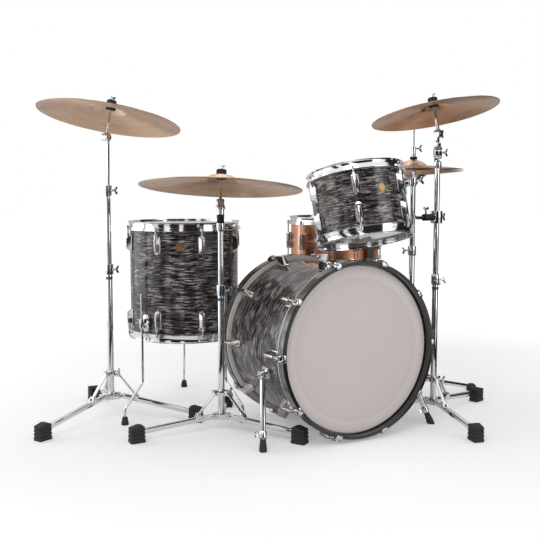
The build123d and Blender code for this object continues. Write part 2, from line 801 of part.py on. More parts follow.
def leg_bracket():
    """Plate on the +X side of the shell with the eye that holds a leg, and its wing screw."""
    with BuildPart() as bracket:
        with BuildSketch(Plane.YZ.offset(floor_tom_r - LEG_PLATE_T)):
            Rectangle(LEG_BRACKET_W, LEG_BRACKET_H)
            chamfer(vertices(), LEG_BRACKET_W / 4)
        extrude(amount=2 * LEG_PLATE_T)
        with BuildSketch(Plane.XY.offset(-LEG_EYE_H / 2)):
            with Locations((floor_tom_r + LEG_OUT / 2, 0)):
                Rectangle(LEG_OUT, LEG_EYE_R)
            with Locations((leg_axis_r, 0)):
                Circle(LEG_EYE_R)
                Circle(LEG_R + SLIDE_GAP, mode=Mode.SUBTRACT)
        extrude(amount=LEG_EYE_H)
        with BuildSketch(Plane.XY.offset(-LEG_BRACKET_H)):
            Circle(floor_tom_r + SEAT_GAP)
        extrude(amount=2 * LEG_BRACKET_H, mode=Mode.SUBTRACT)
    screw = wing_screw().moved(Location((leg_axis_r, LEG_EYE_R, 0), (0, 0, 90)))
    return group(bracket.part, screw)


def floor_tom_leg():
    """Leg rod on the +X side, bent outwards below the drum, and its rubber shoe."""
    sole = LEG_SHOE_H / 4
    with BuildPart() as leg:
        with BuildLine(Plane.XZ) as route:
            FilletPolyline(
                (leg_axis_r, LEG_TOP_Z),
                (leg_axis_r, LEG_KNEE_Z),
                (LEG_FOOT_R, LEG_ANKLE_Z),
                (LEG_FOOT_R, sole),
                radius=LEG_BEND_R,
            )
        with BuildSketch(Plane((leg_axis_r, 0, LEG_TOP_Z), z_dir=(0, 0, -1))):
            Circle(LEG_R)
        sweep(path=route.line)
    shoe = turned(
        (0, 0),
        (LEG_SHOE_R, 0),
        (LEG_SHOE_R, sole),
        (LEG_SHOE_TOP_R, LEG_SHOE_H),
        (LEG_R + SEAT_GAP, LEG_SHOE_H),
        (LEG_R + SEAT_GAP, sole),
        (0, sole),
    )
    return group(leg.part, shoe.moved(Location((LEG_FOOT_R, 0, 0))))


bracket_planes = [upright(FLOOR_TOM_AT, LEG_BRACKET_Z, angle) for angle in LEG_ANGLES]
write(group(*[seated(leg_bracket(), plane) for plane in bracket_planes]), "floor_tom_leg_brackets")
for leg_name, leg_angle in zip(LEG_NAMES, LEG_ANGLES):
    write(seated(floor_tom_leg(), upright(FLOOR_TOM_AT, 0, leg_angle)), f"floor_tom_leg_{leg_name}")


# Tripods: hub, sliding collar, three legs and three braces about Z
def even(start):
    """Compass angles of three legs."""
    return [start, start + 120, start + 240]


def spread(piece, angles):
    """Copies of a piece turned about Z to each angle."""
    return group(*[piece.moved(Location((0, 0, 0), (0, 0, angle))) for angle in angles])


leg_slot = STAND_LEG_W + 2 * SEAT_GAP
ear_pin = HUB_EAR - EAR_T - PIN_R


def ear_pair(height):
    """Two ears on the +X side, with the rivet that crosses the slot between them."""
    ear_y = leg_slot / 2 + EAR_T / 2
    rivet = leg_slot / 2 + EAR_T + RIVET_HEAD
    with BuildPart() as ears:
        with BuildSketch(Plane.XY.offset(-height / 2)):
            with Locations((HUB_EAR / 2, ear_y), (HUB_EAR / 2, -ear_y)):
                Rectangle(HUB_EAR, EAR_T)
        extrude(amount=height)
        with BuildSketch(Plane.XZ):
            with Locations((ear_pin, 0)):
                Circle(PIN_R)
        extrude(amount=rivet, both=True)
    return ears.part


def eared_ring(radius, height, angles):
    """Ring round a tube with a pair of ears for each leg or brace that is riveted to it."""
    with BuildPart() as ring:
        with BuildSketch(Plane.XY.offset(-height / 2)):
            Circle(radius)
        extrude(amount=height)
        for angle in angles:
            add(ear_pair(height).moved(Location((0, 0, 0), (0, 0, angle))))
        with BuildSketch(Plane.XY.offset(-height / 2)):
            Circle(TUBE_R + SEAT_GAP)
        extrude(amount=height, mode=Mode.SUBTRACT)
    return ring.part


def leg_bar(bend, *route):
    """Leg of flat tube along a bent route, with the hole for its rivet at the hub."""
    with BuildPart() as bar:
        with BuildSketch(Plane.XZ):
            with BuildLine() as path:
                FilletPolyline(*route, radius=bend)
            trace(path.line, STAND_LEG_H)
            with Locations((ear_pin, route[0][1])):
                Circle(PIN_R + SEAT_GAP, mode=Mode.SUBTRACT)
        extrude(amount=STAND_LEG_W / 2, both=True)
    return bar.part


def tripod_leg(hub_z, reach):
    """Leg that leaves the hub level and then slopes down to its foot."""
    route = ((HUB_R + SEAT_GAP, hub_z), (LEG_FLAT, hub_z), (reach, FOOT_LEG_Z))
    return leg_bar(STAND_LEG_BEND, *route)


def brace_clip(pin, leg_z):
    """Two cheeks astride a leg and the rivet between them that carries the brace."""
    near = STAND_LEG_W / 2 + SEAT_GAP
    with BuildPart() as clip:
        with BuildSketch(Plane.XZ.offset(near)):
            with BuildLine():
                Polyline(
                    (BRACE_FOOT - CLIP_LEN / 2, leg_z),
                    (BRACE_FOOT - 2 * PIN_R, pin + 2 * PIN_R),
                    (BRACE_FOOT + 2 * PIN_R, pin + 2 * PIN_R),
                    (BRACE_FOOT + CLIP_LEN / 2, leg_z),
                    close=True,
                )
            make_face()
        extrude(amount=EAR_T)
        mirror(about=Plane.XZ)
        with BuildSketch(Plane.XZ):
            with Locations((BRACE_FOOT, pin)):
                Circle(PIN_R)
        extrude(amount=near + EAR_T + RIVET_HEAD, both=True)
    return clip.part


def brace(collar_z, pin):
    """Flat bar with an eye at each end, from the collar down to the clip on the leg."""
    ends = ((ear_pin, collar_z), (BRACE_FOOT, pin))
    with BuildPart() as bar:
        with BuildSketch(Plane.XZ):
            with BuildLine() as route:
                Line(*ends)
            trace(route.line, BRACE_T)
            with Locations(*ends):
                Circle(PIN_EYE_R)
                Circle(PIN_R + SEAT_GAP, mode=Mode.SUBTRACT)
        extrude(amount=STAND_LEG_W / 2, both=True)
    return bar.part


def tripod(hub_z, start, reach):
    """Hub, collar, legs, braces and clips of a stand."""
    collar_z = hub_z + COLLAR_RISE
    leg_z = hub_z - (hub_z - FOOT_LEG_Z) * (BRACE_FOOT - LEG_FLAT) / (reach - LEG_FLAT)
    pin = leg_z + STAND_LEG_H / 2 + BRACE_PIN_UP
    hub = eared_ring(HUB_R, HUB_H, even(start)).moved(Location((0, 0, hub_z)))
    collar = eared_ring(COLLAR_R, COLLAR_H, even(start)).moved(Location((0, 0, collar_z)))
    side = group(tripod_leg(hub_z, reach), brace(collar_z, pin), brace_clip(pin, leg_z))
    screw = wing_screw().moved(Location((COLLAR_R, 0, collar_z)))
    return group(hub, collar, spread(side, even(start)), spread(screw, [start + 60]))


def rubber_foot(hub_z, reach):
    """Ribbed rubber block at the end of a leg, with the pocket that the leg sits in."""
    low_end = reach - FOOT_LEN / 2
    high_end = reach + FOOT_LEN / 2
    groove = FOOT_H / (2 * FOOT_RIBS + 1)
    with BuildPart() as foot:
        with BuildSketch(Plane.XZ):
            with BuildLine():
                Polyline(
                    (low_end, 0),
                    (high_end, 0),
                    (high_end - FOOT_RIB, FOOT_H - FOOT_SLANT),
                    (reach - FOOT_SLANT, FOOT_H),
                    (low_end + FOOT_RIB, FOOT_H - FOOT_SLANT / 2),
                    close=True,
                )
            make_face()
        extrude(amount=FOOT_W / 2, both=True)
        for rib in range(1, FOOT_RIBS):
            with BuildSketch(Plane.XY.offset(2 * groove * rib)):
                with Locations((reach, 0)):
                    Rectangle(2 * FOOT_LEN, 2 * FOOT_W)
                    Rectangle(FOOT_LEN - 3 * FOOT_RIB, FOOT_W - 2 * FOOT_RIB, mode=Mode.SUBTRACT)
            extrude(amount=groove / 2, mode=Mode.SUBTRACT)
        add(tripod_leg(hub_z, reach), mode=Mode.SUBTRACT)
    return foot.part


# Tubes and their clamps
def tube_clamp(outer_r, inner_r, turn):
    """Split clamp on the top end of a tube, its wing screw across the ears."""
    lip = CLAMP_H / 4
    ear_mid = CLAMP_EAR - 2 * WING_SHANK_R
    with BuildPart() as clamp:
        with BuildSketch(Plane.XY.offset(lip - CLAMP_H)):
            Circle(CLAMP_R)
            with Locations((CLAMP_EAR / 2, 0)):
                Rectangle(CLAMP_EAR, CLAMP_EAR_W)
        extrude(amount=CLAMP_H)
        with BuildSketch(Plane.XY.offset(-CLAMP_H)):
            Circle(outer_r + SEAT_GAP)
        extrude(amount=CLAMP_H, mode=Mode.SUBTRACT)
        with BuildSketch():
            Circle(inner_r + SLIDE_GAP)
        extrude(amount=CLAMP_H, mode=Mode.SUBTRACT)
        with BuildSketch(Plane.XY.offset(-CLAMP_H)):
            with Locations((CLAMP_EAR, 0)):
                Rectangle(2 * (CLAMP_EAR - inner_r), CLAMP_SLIT)
        extrude(amount=2 * CLAMP_H, mode=Mode.SUBTRACT)
    screw = wing_screw().moved(Location((ear_mid, CLAMP_EAR_W / 2, -lip), (0, 0, 90)))
    return spread(group(clamp.part, screw), [turn])


def tube_top(clamp_z):
    """Upper end of a tube whose clamp is centred at a height."""
    return clamp_z + CLAMP_H / 4


def base_tube(low, clamp_z, turn):
    """Lowest tube of a stand with the clamp on its top end."""
    top = tube_top(clamp_z)
    clamp = tube_clamp(TUBE_R, MIDDLE_R, turn).moved(Location((0, 0, top)))
    return group(tube(TUBE_R, TUBE_R - TUBE_WALL, low, top), clamp)


def tube_band(clamp_z):
    """Plain band round a base tube, below its clamp."""
    high = tube_top(clamp_z) - CLAMP_H
    return tube(TUBE_R + SEAT_GAP + BAND_T, TUBE_R + SEAT_GAP, high - BAND_H, high)


def inner_tube(clamp_z, high):
    """Tube that slides in a base tube."""
    return tube(MIDDLE_R, MIDDLE_R - MIDDLE_TUBE_WALL, clamp_z - TUBE_LAP, high)


def cymbal_stand_base(name, place, hub_z, start, clamp_z, turn):
    """Write the standing part of a cymbal stand and return its feet."""
    pipe = base_tube(hub_z - HUB_H / 2, clamp_z, turn)
    base = group(tripod(hub_z, start, LEG_RADIUS), pipe, tube_band(clamp_z))
    write(seated(base, upright(place)), name)
    return seated(spread(rubber_foot(hub_z, LEG_RADIUS), even(start)), upright(place))


left_feet = cymbal_stand_base(
    "left_stand_base", LEFT_STAND_AT, LEFT_HUB_Z, LEFT_LEGS, LEFT_CLAMP_Z, CLAMP_TURN
)
centre_feet = cymbal_stand_base(
    "centre_stand_base", CENTRE_STAND_AT, CENTRE_HUB_Z, CENTRE_LEGS, CENTRE_CLAMP_Z, CLAMP_TURN
)
right_feet = cymbal_stand_base(
    "right_stand_base", RIGHT_STAND_AT, RIGHT_HUB_Z, RIGHT_LEGS, RIGHT_CLAMP_Z, CLAMP_TURN
)


# Ratchet tilters: two toothed halves face to face on a pin along Y, pivot at the origin
def ratchet_half(radius, thick, stem_r, stem_end, side):
    """Half of a ratchet on one side of the middle plane, on a stem along Z."""
    clear = radius + TURN_GAP
    way = 1 if stem_end > 0 else -1
    near = TURN_GAP / 2
    with BuildPart() as half:
        add(cross_disc(radius, near, thick))
        with BuildSketch(Plane.XY):
            with Locations((0, (near + thick) / 2)):
                Rectangle(2 * stem_r, thick - near)
        extrude(amount=way * (clear + 2 * stem_r))
        with BuildSketch(Plane.XY.offset(way * clear)):
            Circle(stem_r)
        extrude(amount=stem_end - way * clear)
    if side > 0:
        return half.part
    return half.part.mirror(Plane.XZ)


def lower_half(radius, thick, stem_r, stem_end):
    """Lower half of a ratchet, with the pin and the wing nut that clamp the upper half."""
    with BuildPart() as half:
        add(ratchet_half(radius, thick, stem_r, stem_end, -1))
        add(cross_disc(HINGE_PIN_R, -thick / 2, thick + TURN_GAP))
    nut = wing_screw().moved(Location((0, thick + TURN_GAP, 0), (0, 0, 90)))
    return group(half.part, nut)


def upper_half(radius, thick, stem_r, stem_end):
    """Upper half of a ratchet, bored for the pin."""
    with BuildPart() as half:
        add(ratchet_half(radius, thick, stem_r, stem_end, 1))
        add(cross_disc(HINGE_PIN_R + SLIDE_GAP, -thick, 2 * thick), mode=Mode.SUBTRACT)
    return half.part


# Cymbals: edge at Z = 0, bell at Z = rise
def bell_drop(shape, at):
    """Fall of the bell from its top at a radius."""
    bell_r, bell_h = shape[2:]
    ball = (bell_r**2 + bell_h**2) / (2 * bell_h)
    return ball - sqrt(ball**2 - at**2)


def cymbal(shape):
    """Spun bronze plate with a bell, a swelling bow and a hole for the post."""
    dia, rise, bell_r, bell_h = shape
    edge = dia / 2
    mid_bell = (CYMBAL_HOLE_R + bell_r) / 2
    mid_bow = (bell_r + edge) / 2
    shoulder = rise - bell_h
    hole_z = rise - bell_drop(shape, CYMBAL_HOLE_R)
    bell_z = rise - bell_drop(shape, mid_bell)
    bow_z = shoulder * BOW_SWELL
    under = CYMBAL_T
    with BuildPart() as plate:
        with BuildSketch(Plane.XZ):
            with BuildLine():
                ThreePointArc((CYMBAL_HOLE_R, hole_z), (mid_bell, bell_z), (bell_r, shoulder))
                ThreePointArc((bell_r, shoulder), (mid_bow, bow_z), (edge, 0))
                Line((edge, 0), (edge, -under))
                ThreePointArc((edge, -under), (mid_bow, bow_z - under), (bell_r, shoulder - under))
                ThreePointArc(
                    (bell_r, shoulder - under),
                    (mid_bell, bell_z - under),
                    (CYMBAL_HOLE_R, hole_z - under),
                )
                Line((CYMBAL_HOLE_R, hole_z - under), (CYMBAL_HOLE_R, hole_z))
            make_face()
        revolve(axis=Axis.Z)
    return plate.part


def post_fittings(shape, post):
    """Cup, felts, sleeve and wing nut that hold a cymbal whose bell is at Z = post."""
    bore = TILTER_ROD_R + SEAT_GAP
    felt_top = post - bell_drop(shape, FELT_R) - CYMBAL_T - TURN_GAP
    felt_low = felt_top - LOWER_FELT_H
    upper_low = post + TURN_GAP
    upper_top = upper_low + FELT_H
    cup = turned(
        (bore, felt_low - CUP_H),
        (SLEEVE_R + CUP_H / 2, felt_low - CUP_H),
        (FELT_R + SEAT_GAP, felt_low - CUP_H / 3),
        (FELT_R + SEAT_GAP, felt_low),
        (bore, felt_low),
    )
    lower_felt = tube(FELT_R, SLEEVE_R + SEAT_GAP, felt_low, felt_top)
    sleeve = tube(SLEEVE_R, bore, felt_low, upper_top)
    upper_felt = turned(
        (SLEEVE_R + SEAT_GAP, upper_low),
        (FELT_R, upper_low),
        (FELT_R, upper_top - FELT_H / 4),
        (FELT_R - FELT_H / 4, upper_top),
        (SLEEVE_R + SEAT_GAP, upper_top),
    )
    nut = wing_screw(reach=WING_NUT_H).rotate(Axis.Y, -90)
    return group(cup, lower_felt, sleeve, upper_felt, nut.moved(Location((0, 0, upper_top))))


def post_end(post):
    """Upper end of the post, under its wing nut."""
    return post + TURN_GAP + FELT_H


def leaned(place, height, lean, toward):
    """Plane at a pivot above a place, its Z axis leaning along a compass angle."""
    level = upright(place, height, toward)
    tip = radians(lean)
    return Plane(
        level.origin,
        x_dir=level.x_dir * cos(tip) - level.z_dir * sin(tip),
        z_dir=level.z_dir * cos(tip) + level.x_dir * sin(tip),
    )


def cymbal_on(shape, post):
    """Cymbal with the top of its bell at Z = post."""
    return cymbal(shape).moved(Location((0, 0, post - shape[1])))


def ratchet_tilter(shape, post):
    """Upper half of a ratchet whose stem is the cymbal's post, with the fittings on it."""
    half = upper_half(RATCHET_R, RATCHET_T, TILTER_ROD_R, post_end(post))
    return group(half, post_fittings(shape, post))


# Left cymbal stand
left_top = upright(LEFT_STAND_AT, LEFT_PIVOT_Z, LEFT_LEAN_TO)
left_tilt = leaned(LEFT_STAND_AT, LEFT_PIVOT_Z, LEFT_LEAN, LEFT_LEAN_TO)
left_middle_top = tube_top(LEFT_TOP_CLAMP_Z)
left_middle = group(
    inner_tube(LEFT_CLAMP_Z, left_middle_top),
    tube_clamp(MIDDLE_R, TOP_ROD_R, CLAMP_TURN).moved(Location((0, 0, left_middle_top))),
)
left_stem = LEFT_TOP_CLAMP_Z - TUBE_LAP - LEFT_PIVOT_Z
write(seated(left_middle, upright(LEFT_STAND_AT)), "left_stand_middle_tube")
write(seated(lower_half(RATCHET_R, RATCHET_T, TOP_ROD_R, left_stem), left_top), "left_stand_top_rod")
write(seated(ratchet_tilter(LEFT_CYMBAL, LEFT_POST), left_tilt), "left_cymbal_tilter")
write(seated(cymbal_on(LEFT_CYMBAL, LEFT_POST), left_tilt), "left_cymbal")


# Forks and tongues: a plain hinge on a pin along Y, pivot at the origin
def fork(low, base_r):
    """Flared base with two cheeks and the pin between them."""
    slot = TONGUE_W + 2 * TURN_GAP
    floor_z = -TONGUE_R - TURN_GAP
    with BuildPart() as yoke:
        add(
            turned(
                (0, low),
                (base_r, low),
                (FORK_R, floor_z),
                (FORK_R, FORK_UP),
                (0, FORK_UP),
            )
        )
        with BuildSketch(Plane.XY.offset(floor_z)):
            Rectangle(2 * FORK_R, slot)
        extrude(amount=FORK_UP - floor_z, mode=Mode.SUBTRACT)
        add(cross_disc(HINGE_PIN_R, -FORK_R - RIVET_HEAD, FORK_R + RIVET_HEAD))
    return yoke.part


def tongue(stem_r, stem_end):
    """Flat eye on the pin of a fork, with a stem along +Z."""
    shoulder = FORK_UP + TURN_GAP
    with BuildPart() as blade:
        with BuildSketch(Plane.XZ):
            Circle(TONGUE_R)
            with Locations((0, shoulder / 2 + stem_r)):
                Rectangle(2 * stem_r, shoulder + 2 * stem_r)
            Circle(HINGE_PIN_R + SLIDE_GAP, mode=Mode.SUBTRACT)
        extrude(amount=TONGUE_W / 2, both=True)
        with BuildSketch(Plane.XY.offset(shoulder + stem_r)):
            Circle(stem_r)
        extrude(amount=stem_end - shoulder - stem_r)
    return blade.part


# Centre cymbal stand
centre_top = upright(CENTRE_STAND_AT, CENTRE_PIVOT_Z, CENTRE_LEAN_TO)
centre_tilt = leaned(CENTRE_STAND_AT, CENTRE_PIVOT_Z, CENTRE_LEAN, CENTRE_LEAN_TO)
centre_flange = -TONGUE_R - TURN_GAP - CENTRE_FLANGE_H
centre_lock = centre_flange - CENTRE_LOCK_H
centre_nut = centre_lock - CENTRE_NUT_H
centre_head = group(
    fork(centre_flange, CENTRE_FLANGE_R),
    rod(CENTRE_LOCK_R, centre_lock, centre_flange),
    rod(CENTRE_NUT_R, centre_nut, centre_lock),
)
centre_pipe = inner_tube(CENTRE_CLAMP_Z, CENTRE_PIVOT_Z + centre_nut)
centre_upper = group(
    seated(centre_head, centre_top),
    seated(centre_pipe, upright(CENTRE_STAND_AT)),
)
centre_post = group(tongue(TILTER_ROD_R, post_end(CENTRE_POST)), post_fittings(CENTRE_CYMBAL, CENTRE_POST))
write(centre_upper, "centre_stand_upper_tube")
write(seated(centre_post, centre_tilt), "centre_cymbal_tilter")
write(seated(cymbal_on(CENTRE_CYMBAL, CENTRE_POST), centre_tilt), "centre_cymbal")


# Right cymbal stand, with a short boom between two ratchets
boom_base = upright(RIGHT_STAND_AT, BOOM_PIVOT_Z, -90)
right_top = upright(RIGHT_STAND_AT, RIGHT_PIVOT_Z, RIGHT_LEAN_TO)
right_tilt = leaned(RIGHT_STAND_AT, RIGHT_PIVOT_Z, RIGHT_LEAN, RIGHT_LEAN_TO)
collar_top = RIGHT_TOP_Z + TOP_COLLAR_H
right_collar = turned(
    (0, RIGHT_TOP_Z),
    (TOP_COLLAR_R, RIGHT_TOP_Z),
    (TOP_COLLAR_R, collar_top - TOP_COLLAR_H / 4),
    (TOP_ROD_R, collar_top),
    (0, collar_top),
)
right_upper = group(
    seated(group(inner_tube(RIGHT_CLAMP_Z, RIGHT_TOP_Z), right_collar), upright(RIGHT_STAND_AT)),
    seated(lower_half(BOOM_R, BOOM_T, TOP_ROD_R, collar_top - BOOM_PIVOT_Z), boom_base),
)
boom_mid = (RIGHT_PIVOT_Z - BOOM_PIVOT_Z) / 2
boom = group(
    seated(upper_half(BOOM_R, BOOM_T, TOP_ROD_R, boom_mid), boom_base),
    seated(lower_half(RATCHET_R, RATCHET_T, TOP_ROD_R, -boom_mid), right_top),
)
write(right_upper, "right_stand_upper_tube")
write(boom, "right_stand_boom")
write(seated(ratchet_tilter(RIGHT_CYMBAL, RIGHT_POST), right_tilt), "right_cymbal_tilter")
write(seated(cymbal_on(RIGHT_CYMBAL, RIGHT_POST), right_tilt), "right_cymbal")


# Rack tom: hangs from a clamp on the right cymbal stand
rack_tom_r = RACK_TOM_DIA / 2
rack_axis = leaned(RACK_TOM_AT, RACK_TOM_RIM_Z, RACK_TOM_LEAN, RACK_TOM_LEAN_TO)
plate_way = upright(RACK_TOM_AT, 0, TOM_ARM_TURN).x_dir
RACK_TOM = Plane(
    rack_axis.from_local_coords(Vector(0, 0, HOOP_RISE)),
    x_dir=plate_way - rack_axis.z_dir * plate_way.dot(rack_axis.z_dir),
    z_dir=rack_axis.z_dir,
)
tom_fittings("rack_tom", rack_tom_r, RACK_TOM_DEPTH, RACK_TOM_LUGS, RACK_TOM_LUG_START, RACK_TOM)
tom_pivot = RACK_TOM_PIVOT_UP - HOOP_RISE
boss_end = rack_tom_r + TOM_ARM_OUT - TOM_EYE_R - TOM_EYE_ROOM


def tom_plate():
    """Plate on the +X side of the shell with a boss for the pin of the holder's eye."""
    with BuildPart() as plate:
        with BuildSketch(Plane.YZ.offset(rack_tom_r - TOM_PLATE_T)):
            Rectangle(TOM_PLATE_W, TOM_PLATE_H)
            chamfer(vertices(), TOM_PLATE_W / 4)
        extrude(amount=2 * TOM_PLATE_T)
        with BuildSketch(Plane.YZ.offset(rack_tom_r)):
            Circle(TOM_BOSS_R)
        extrude(amount=boss_end - rack_tom_r)
        with BuildSketch(Plane.XY.offset(-TOM_PLATE_H)):
            Circle(rack_tom_r + SEAT_GAP)
        extrude(amount=2 * TOM_PLATE_H, mode=Mode.SUBTRACT)
        with BuildSketch(Plane.YZ):
            Circle(TOM_PIN_R + SLIDE_GAP)
        extrude(amount=2 * rack_tom_r, mode=Mode.SUBTRACT)
    return plate.part.moved(Location((0, 0, tom_pivot)))


write(seated(tom_plate(), RACK_TOM), "rack_tom_plate")
tom_eye_at = RACK_TOM.from_local_coords(Vector(rack_tom_r + TOM_ARM_OUT, 0, tom_pivot))
stand_axis = Vector(*RIGHT_STAND_AT, TOM_CLAMP_Z)
arm_corner = Vector(tom_eye_at.X, tom_eye_at.Y, TOM_CLAMP_Z)
arm_way = (arm_corner - stand_axis).normalized()
CLAMP = Plane(stand_axis, x_dir=arm_way, z_dir=(0, 0, 1))


def tom_clamp():
    """Ring on the stand's tube with a socket along +X for the arm, and two wing screws."""
    with BuildPart() as body:
        with BuildSketch(Plane.XY.offset(-TOM_CLAMP_H / 2)):
            Circle(TOM_CLAMP_R)
        extrude(amount=TOM_CLAMP_H)
        with BuildSketch(Plane.YZ):
            Circle(TOM_SOCKET_R)
        extrude(amount=TOM_CLAMP_ARM)
        with BuildSketch(Plane.XY.offset(-TOM_CLAMP_H / 2)):
            Circle(MIDDLE_R + SLIDE_GAP)
        extrude(amount=TOM_CLAMP_H, mode=Mode.SUBTRACT)
        with BuildSketch(Plane.YZ.offset(TOM_CLAMP_R)):
            Circle(TOM_ARM_R + SLIDE_GAP)
        extrude(amount=TOM_CLAMP_ARM, mode=Mode.SUBTRACT)
    arm_screw = wing_screw().rotate(Axis.Y, -90)
    arm_screw = arm_screw.moved(Location((TOM_CLAMP_ARM - TOM_SOCKET_R, 0, TOM_SOCKET_R)))
    tube_screw = wing_screw().moved(Location((-TOM_CLAMP_R, 0, 0), (0, 0, 180)))
    return group(body.part, arm_screw, tube_screw)


def tom_arm():
    """Bent rod from the clamp's socket up beside the tom, with the eye that carries the tom."""
    start = arm_way * (TOM_CLAMP_ARM - TOM_SOCKET_LAP) + stand_axis
    with BuildPart() as bar:
        with BuildLine() as route:
            FilletPolyline(
                start,
                arm_corner,
                Vector(arm_corner.X, arm_corner.Y, TOM_ARM_TOP),
                radius=TOM_ARM_BEND,
            )
        with BuildSketch(Plane(start, z_dir=arm_way)):
            Circle(TOM_ARM_R)
        sweep(path=route.line)
    eye_low = tom_eye_at.Z - TOM_EYE_H / 2
    pin = Plane(tom_eye_at, z_dir=-RACK_TOM.x_dir)
    with BuildPart() as eye:
        with BuildSketch(Plane((tom_eye_at.X, tom_eye_at.Y, eye_low))):
            Circle(TOM_EYE_R)
        extrude(amount=TOM_EYE_H)
        with BuildSketch(pin):
            Circle(TOM_PIN_R)
        extrude(amount=TOM_ARM_OUT - SEAT_GAP)
        with BuildSketch(Plane((tom_eye_at.X, tom_eye_at.Y, eye_low))):
            Circle(TOM_ARM_R + SEAT_GAP)
        extrude(amount=TOM_EYE_H, mode=Mode.SUBTRACT)
    screw = seated(wing_screw(), along(tom_eye_at, RACK_TOM.x_dir)).moved(
        Location(RACK_TOM.x_dir * TOM_EYE_R)
    )
    return group(bar.part, eye.part, screw)


write(seated(tom_clamp(), CLAMP), "tom_clamp")
write(tom_arm(), "tom_arm")


# Snare drum: spun metal shell with its strainer, butt and wires
snare_r = SNARE_DIA / 2
SNARE = upright(SNARE_AT, SNARE_RIM_Z + HOOP_RISE)
snare_mid = SNARE_DEPTH / 2
snare_head = drum_head(snare_r, SNARE_DEPTH, FLESH_RING_W, FLESH_RING_H, FLESH_DROP)
snare_hoop = flanged_hoop(snare_r, SNARE_DEPTH, SNARE_LUGS, SNARE_LUG_START)
snare_lug = centre_lug(snare_r, TOM_ROD_OUT, snare_mid)
snare_ear_top = SNARE_DEPTH + FLANGE_Z + HOOP_STEEL
snare_rod = tension_rod(snare_r + TOM_ROD_OUT, snare_ear_top, snare_mid + SNARE_LUG_LEN / 2)


def gated_hoop():
    """Lower snare hoop with two notches in its rim for the straps of the wires."""
    with BuildPart() as hoop:
        add(snare_hoop.mirror(Plane.XY.offset(snare_mid)))
        with BuildSketch(Plane.XY.offset(-HOOP_RISE)):
            with PolarLocations(snare_r, 2, STRAINER_TURN):
                Rectangle(4 * TOM_ROD_OUT, GATE_W)
        extrude(amount=HOOP_RISE, mode=Mode.SUBTRACT)
    return hoop.part


block_face = snare_r + STRAINER_T
strainer_low = snare_mid - STRAINER_H / 2
butt_low = snare_mid - BUTT_H / 2
throw_z = strainer_low + THROW_W
throw_x = block_face + THROW_T
throw_slot = THROW_W / 2 + TURN_GAP


def shell_block(low):
    """Block on the +X side of the snare shell, hollowed to the shell and its bead."""
    bead_room = SNARE_BEAD_R + SEAT_GAP
    with BuildPart() as block:
        with BuildSketch(Plane.XY.offset(low)):
            with Locations((snare_r + STRAINER_T / 2, 0)):
                Rectangle(STRAINER_T, STRAINER_W)
            chamfer(vertices().group_by(Axis.X)[-1], STRAINER_T / 4)
            Circle(snare_r + SEAT_GAP, mode=Mode.SUBTRACT)
        extrude(amount=2 * (snare_mid - low))
        with BuildSketch(Plane.XY.offset(snare_mid - bead_room)):
            Circle(snare_r + bead_room)
        extrude(amount=2 * bead_room, mode=Mode.SUBTRACT)
    return block.part


def strainer():
    """Block with two ears and the pin of the throw-off lever."""
    ear_y = throw_slot + EAR_T / 2
    with BuildPart() as body:
        add(shell_block(strainer_low))
        with BuildSketch(Plane.XY.offset(throw_z - THROW_W / 2)):
            with Locations((block_face + THROW_T, ear_y), (block_face + THROW_T, -ear_y)):
                Rectangle(4 * THROW_T, EAR_T)
        extrude(amount=THROW_W)
        add(cross_disc(PIN_R, -throw_slot, throw_slot).moved(Location((throw_x, 0, throw_z))))
    return body.part


def throw_off():
    """Lever on the strainer's pin, upright while the wires are tight."""
    with BuildPart() as lever:
        with BuildSketch(Plane.XZ):
            with Locations((throw_x, throw_z + THROW_LEN / 2)):
                Rectangle(THROW_T, THROW_LEN)
            with Locations((throw_x, throw_z)):
                Circle(THROW_T - TURN_GAP)
                Circle(PIN_R + SLIDE_GAP, mode=Mode.SUBTRACT)
        extrude(amount=THROW_W / 2, both=True)
    return lever.part


def wire_strap(block_low):
    """Strap from the end plate through the gate and up to a block on the +X side."""
    out = snare_r + TOM_ROD_OUT + HOOP_STEEL
    level = -FILM - WIRE_DROP - WIRE_T / 2
    with BuildPart() as strap:
        with BuildSketch(Plane.XZ):
            with BuildLine() as route:
                Polyline((WIRE_SPAN / 2 + WIRE_PLATE, level), (out, level), (out, block_low))
            trace(route.line, STRAP_T)
        extrude(amount=WIRE_COUNT * WIRE_PITCH / 3, both=True)
    return strap.part


def snare_wires():
    """Strands under the lower head between two end plates, with a strap at each end."""
    plate_x = WIRE_SPAN / 2 + WIRE_PLATE / 2
    with BuildPart() as wires:
        with BuildSketch(Plane.XY.offset(-FILM - WIRE_DROP - WIRE_T)):
            with GridLocations(0, WIRE_PITCH, 1, WIRE_COUNT):
                Rectangle(WIRE_SPAN, WIRE_T)
            with Locations((plate_x, 0), (-plate_x, 0)):
                Rectangle(WIRE_PLATE, (WIRE_COUNT + 1) * WIRE_PITCH)
        extrude(amount=WIRE_T)
    far_strap = spread(wire_strap(butt_low), [180])
    return group(wires.part, wire_strap(strainer_low), far_strap)


write(seated(beaded_shell(snare_r, SNARE_DEPTH), SNARE), "snare_shell")
write(seated(both_ends(snare_head, SNARE_DEPTH), SNARE), "snare_heads")
write(seated(group(snare_hoop, gated_hoop()), SNARE), "snare_hoops")
write(seated(ring_of(snare_lug, SNARE_LUGS, SNARE_LUG_START), SNARE), "snare_lugs")
snare_rods = both_ends(ring_of(snare_rod, SNARE_LUGS, SNARE_LUG_START), SNARE_DEPTH)
write(seated(snare_rods, SNARE), "snare_tension_rods")
butt = spread(shell_block(butt_low), [STRAINER_TURN + 180])
write(seated(group(spread(strainer(), [STRAINER_TURN]), butt), SNARE), "snare_strainer")
write(seated(spread(throw_off(), [STRAINER_TURN]), SNARE), "snare_throw_off")
write(seated(spread(snare_wires(), [STRAINER_TURN]), SNARE), "snare_wires")


